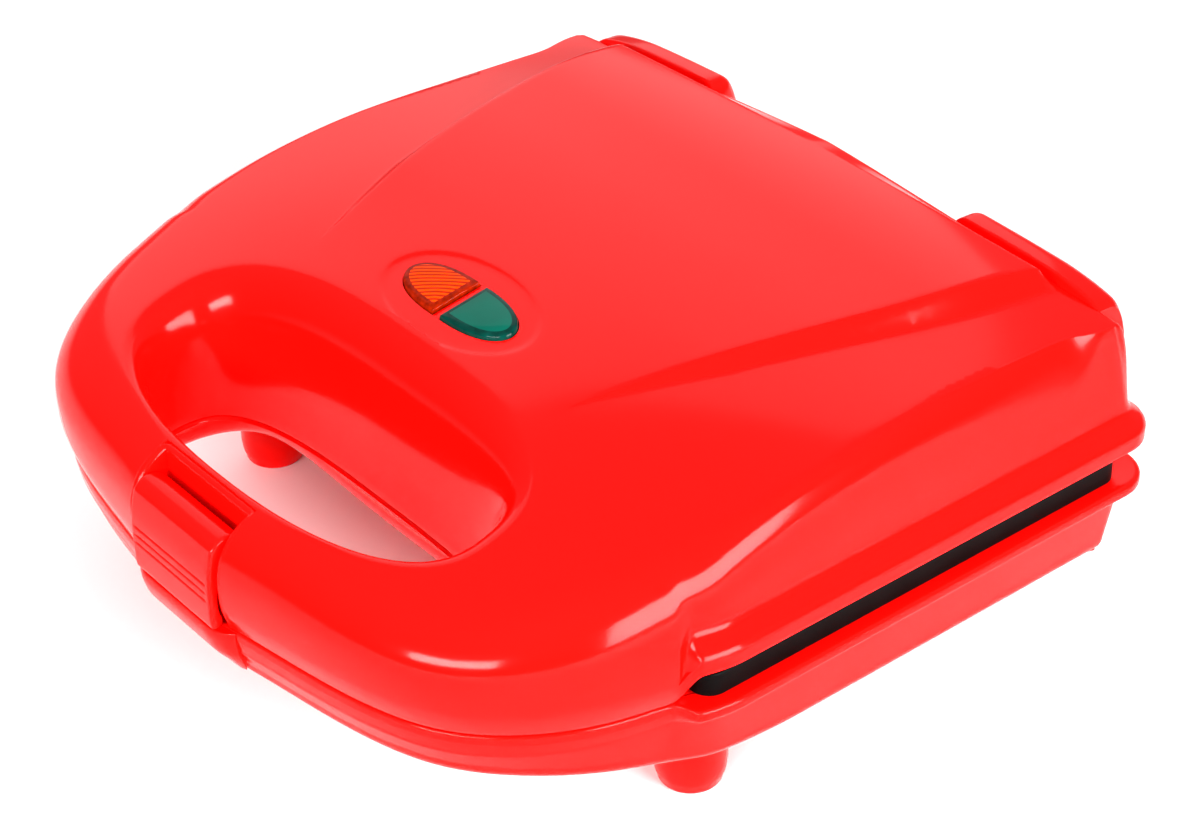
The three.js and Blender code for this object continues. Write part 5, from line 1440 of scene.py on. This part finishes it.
def make_camera():
    """The photograph's camera."""
    data = bpy.data.cameras.new("Camera")
    data.lens = CAMERA_LENS
    data.sensor_width = CAMERA_SENSOR
    data.clip_start, data.clip_end = 0.01, 20
    camera = placed("Camera", data)
    middle = Vector((0, MIDDLE_Y, 0))
    place, target = ((Vector(spot) - middle) * MM for spot in (CAMERA_PLACE, CAMERA_TARGET))
    camera.matrix_world = aimed(place, target) @ Matrix.Rotation(math.radians(CAMERA_ROLL), 4, "Z")
    bpy.context.scene.camera = camera


# Each lamp's place and size in metres, and how bright its face is
LAMPS = (
    ("side_box", (1.05, 0.11, 0.34), (0.66, 0.46), 31),
    ("front_box", (0.45, -1.05, 0.42), (0.75, 0.2), 46),
    ("rear_panel", (-0.95, 0.55, 0.78), (1.3, 1.0), 1.3),
)


def area_light(name, place, target, size, energy):
    """A rectangular lamp that looks at a target."""
    data = bpy.data.lights.new(name, "AREA")
    data.shape = "RECTANGLE"
    data.size, data.size_y = size
    data.energy = energy
    placed(name, data).matrix_world = aimed(place, target)


def make_world(strength):
    """Studio light from above that fades towards the horizon."""
    world = bpy.data.worlds.new("studio")
    bpy.context.scene.world = world
    world.use_nodes = True
    tree = world.node_tree
    place = tree.nodes.new("ShaderNodeTexCoord").outputs["Generated"]
    height = add_node(tree, "ShaderNodeSeparateXYZ", Vector=place).outputs["Z"]
    sky = tree.nodes["Background"].inputs
    feed(tree, sky["Color"], colour_ramp(tree, height, (0, [HORIZON] * 3), (0.8, (1, 1, 1))))
    sky["Strength"].default_value = strength


def make_stage(settings):
    """Camera, floor, world and lamps."""
    make_camera()
    bpy.context.scene.view_settings.view_transform = "Standard"
    mesh = bpy.data.meshes.new("floor")
    corners = [(x * FLOOR_SIZE, y * FLOOR_SIZE, 0) for x, y in ((-1, -1), (1, -1), (1, 1), (-1, 1))]
    mesh.from_pydata(corners, [], [(0, 1, 2, 3)])
    floor = placed("floor", mesh)
    material, _, _ = shader("studio_white", Base_Color=(0.9, 0.9, 0.9, 1), Roughness=1.0,
                            Specular_IOR_Level=0.0)
    mesh.materials.append(material)
    make_world(settings.sky)
    for name, place, size, radiance in LAMPS:
        energy = radiance * size[0] * size[1] * math.pi * settings.lamps
        area_light(name, place, LAMP_TARGET, size, energy)


# ---------------------------------------------------------------- add-on
def length(name, description, default, low=0.0002):
    """A setting in metres."""
    return bpy.props.FloatProperty(name=name, description=description, default=default, min=low,
                                   unit="LENGTH")


def colour(name, description, default):
    """A setting that is a colour."""
    return bpy.props.FloatVectorProperty(name=name, description=description, default=default,
                                         subtype="COLOR", size=3, min=0, max=1)


class SandwichMakerSettings(bpy.types.PropertyGroup):
    """Sizes, colours and light of the sandwich maker."""

    wall: length("Wall thickness", "Thickness of the moulded shells", 0.0024, 0.001)
    notch_round: length("Notch edge", "Radius of the rounded edge of the latch notch", 0.0014)
    latch_round: length("Latch edge", "Radius of the rounded ends of the latch", 0.0009)
    window_painted_shading_width: length("Window rim", "Width of the dark rim of the two windows", 0.0016, 0)
    screw_head: length("Screw head height", "Height of the heads of the screws", 0.0018, 0.0005)
    screw_shank: length("Screw shank radius", "Radius of the shanks of the screws", 0.0013, 0.0005)
    screw_slot: length("Screw slot width", "Width of the cross in a screw's head", 0.0006)
    red: colour("Shell colour", "Colour of the moulded shells", (0.9, 0.0022, 0.0012))
    orange: colour("Orange window", "Colour of the left window", (1.0, 0.055, 0.0))
    green: colour("Green window", "Colour of the right window", (0.0, 0.09, 0.06))
    gloss: bpy.props.FloatProperty(name="Shell roughness", description="Roughness of the moulded shells",
                                   default=0.12, min=0, max=1)
    sky: bpy.props.FloatProperty(name="Studio light", description="Strength of the light from all round",
                                 default=0.72, min=0)
    lamps: bpy.props.FloatProperty(name="Lamp strength", default=1.0, min=0,
                                   description="Strength of the studio lamps, as a factor")


class SANDWICH_OT_materials(bpy.types.Operator):
    """Makes the materials"""

    bl_idname = "sandwich.materials"
    bl_label = "Materials"

    def execute(self, context):
        make_materials(context.scene.sandwich_maker)
        return {"FINISHED"}


class SANDWICH_OT_lid(bpy.types.Operator):
    """Makes the moulded lid with its latch notch and hinge covers"""

    bl_idname = "sandwich.lid"
    bl_label = "Lid"

    def execute(self, context):
        settings = context.scene.sandwich_maker
        dress(make_lid_shell(settings), "moulded_red", "lid", "upper_housing")
        dress(make_hinge_covers(), "moulded_red", "lid")
        return {"FINISHED"}


class SANDWICH_OT_base(bpy.types.Operator):
    """Makes the moulded base with its hinge ears, the bulge under the latch and the feet"""

    bl_idname = "sandwich.base"
    bl_label = "Base"

    def execute(self, context):
        settings = context.scene.sandwich_maker
        dress(make_base_shell(settings), "moulded_red", "base", "lower_housing")
        dress(make_chin(), "moulded_red", "base")
        dress(make_hinge_ears(), "moulded_red", "base")
        for node in FOOT_NODES:
            dress(make_foot(node), "moulded_red", "base", node)
        return {"FINISHED"}


class SANDWICH_OT_latch(bpy.types.Operator):
    """Makes the rocking latch with its grip grooves"""

    bl_idname = "sandwich.latch"
    bl_label = "Latch"

    def execute(self, context):
        dress(make_latch(context.scene.sandwich_maker), "moulded_red", "latch", "latch")
        return {"FINISHED"}


class SANDWICH_OT_windows(bpy.types.Operator):
    """Makes the two indicator windows"""

    bl_idname = "sandwich.windows"
    bl_label = "Windows"

    def execute(self, context):
        # Each window's rim gets a darker finish as painted shade, this wide
        rim = context.scene.sandwich_maker.window_painted_shading_width / MM
        for name, side in (("orange", -1), ("green", 1)):
            piece = make_lens(name + "_crown", side)
            dress(piece, name + "_window", "lid", name + "_lens")
            paint_shading_at_rim(piece, side, rim, name + "_shade")
        return {"FINISHED"}


class SANDWICH_OT_plates(bpy.types.Operator):
    """Makes the two coated plates"""

    bl_idname = "sandwich.plates"
    bl_label = "Plates"

    def execute(self, context):
        for name, direction, seam, rim, body, node in (
                ("lower_grill", 1, PLATE_SEAM, LOWER_RIM, "base", "lower_plate"),
                ("upper_grill", -1, PLATE_SEAM + PARTING_GAP, UPPER_RIM, "lid", "upper_plate")):
            dress(make_plate(name, direction, seam, rim), "plate_coating", body, node)
        return {"FINISHED"}


class SANDWICH_OT_screws(bpy.types.Operator):
    """Makes the cross-head screws of both inner covers with one node group"""

    bl_idname = "sandwich.screws"
    bl_label = "Screws"

    def execute(self, context):
        settings = context.scene.sandwich_maker
        steel = bpy.data.materials["bright_steel"]
        for body, start, heads_up in (("base", "lower_screw_", True), ("lid", "upper_screw_", False)):
            nodes = [start + str(i) for i in range(1, 5)]
            piece = make_screws(start + "set", nodes, heads_up, settings, steel)
            dress(piece, "bright_steel", body, *nodes)
        return {"FINISHED"}


class SANDWICH_OT_finishes(bpy.types.Operator):
    """Gives the remaining solids their materials"""

    bl_idname = "sandwich.finishes"
    bl_label = "Inner parts' materials"

    def execute(self, context):
        for material, nodes in CAD_FINISHES.items():
            for node in nodes:
                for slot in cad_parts[node].material_slots:
                    slot.material = bpy.data.materials[material]
        return {"FINISHED"}


class SANDWICH_OT_stage(bpy.types.Operator):
    """Makes the camera, the floor and the studio lights"""

    bl_idname = "sandwich.stage"
    bl_label = "Stage"

    def execute(self, context):
        make_stage(context.scene.sandwich_maker)
        return {"FINISHED"}


OPERATORS = (SANDWICH_OT_materials, SANDWICH_OT_lid, SANDWICH_OT_base, SANDWICH_OT_latch,
             SANDWICH_OT_windows, SANDWICH_OT_plates, SANDWICH_OT_screws, SANDWICH_OT_finishes,
             SANDWICH_OT_stage)


class SANDWICH_PT_panel(bpy.types.Panel):
    """Lists the pieces of the sandwich maker and their settings"""

    bl_label = "Sandwich maker"
    bl_idname = "SANDWICH_PT_panel"
    bl_space_type = "VIEW_3D"
    bl_region_type = "UI"
    bl_category = "Sandwich maker"

    def draw(self, context):
        settings = context.scene.sandwich_maker
        for name in SandwichMakerSettings.__annotations__:
            self.layout.prop(settings, name)
        for operator in OPERATORS:
            self.layout.operator(operator.bl_idname)


def register():
    for item in (SandwichMakerSettings, *OPERATORS, SANDWICH_PT_panel):
        bpy.utils.register_class(item)
    bpy.types.Scene.sandwich_maker = bpy.props.PointerProperty(type=SandwichMakerSettings)


def unregister():
    del bpy.types.Scene.sandwich_maker
    for item in reversed((SandwichMakerSettings, *OPERATORS, SANDWICH_PT_panel)):
        bpy.utils.unregister_class(item)


def main():
    """Makes every piece."""
    register()
    for operator in OPERATORS:
        group, name = operator.bl_idname.split(".")
        getattr(getattr(bpy.ops, group), name)()


if __name__ == "__main__":
    main()
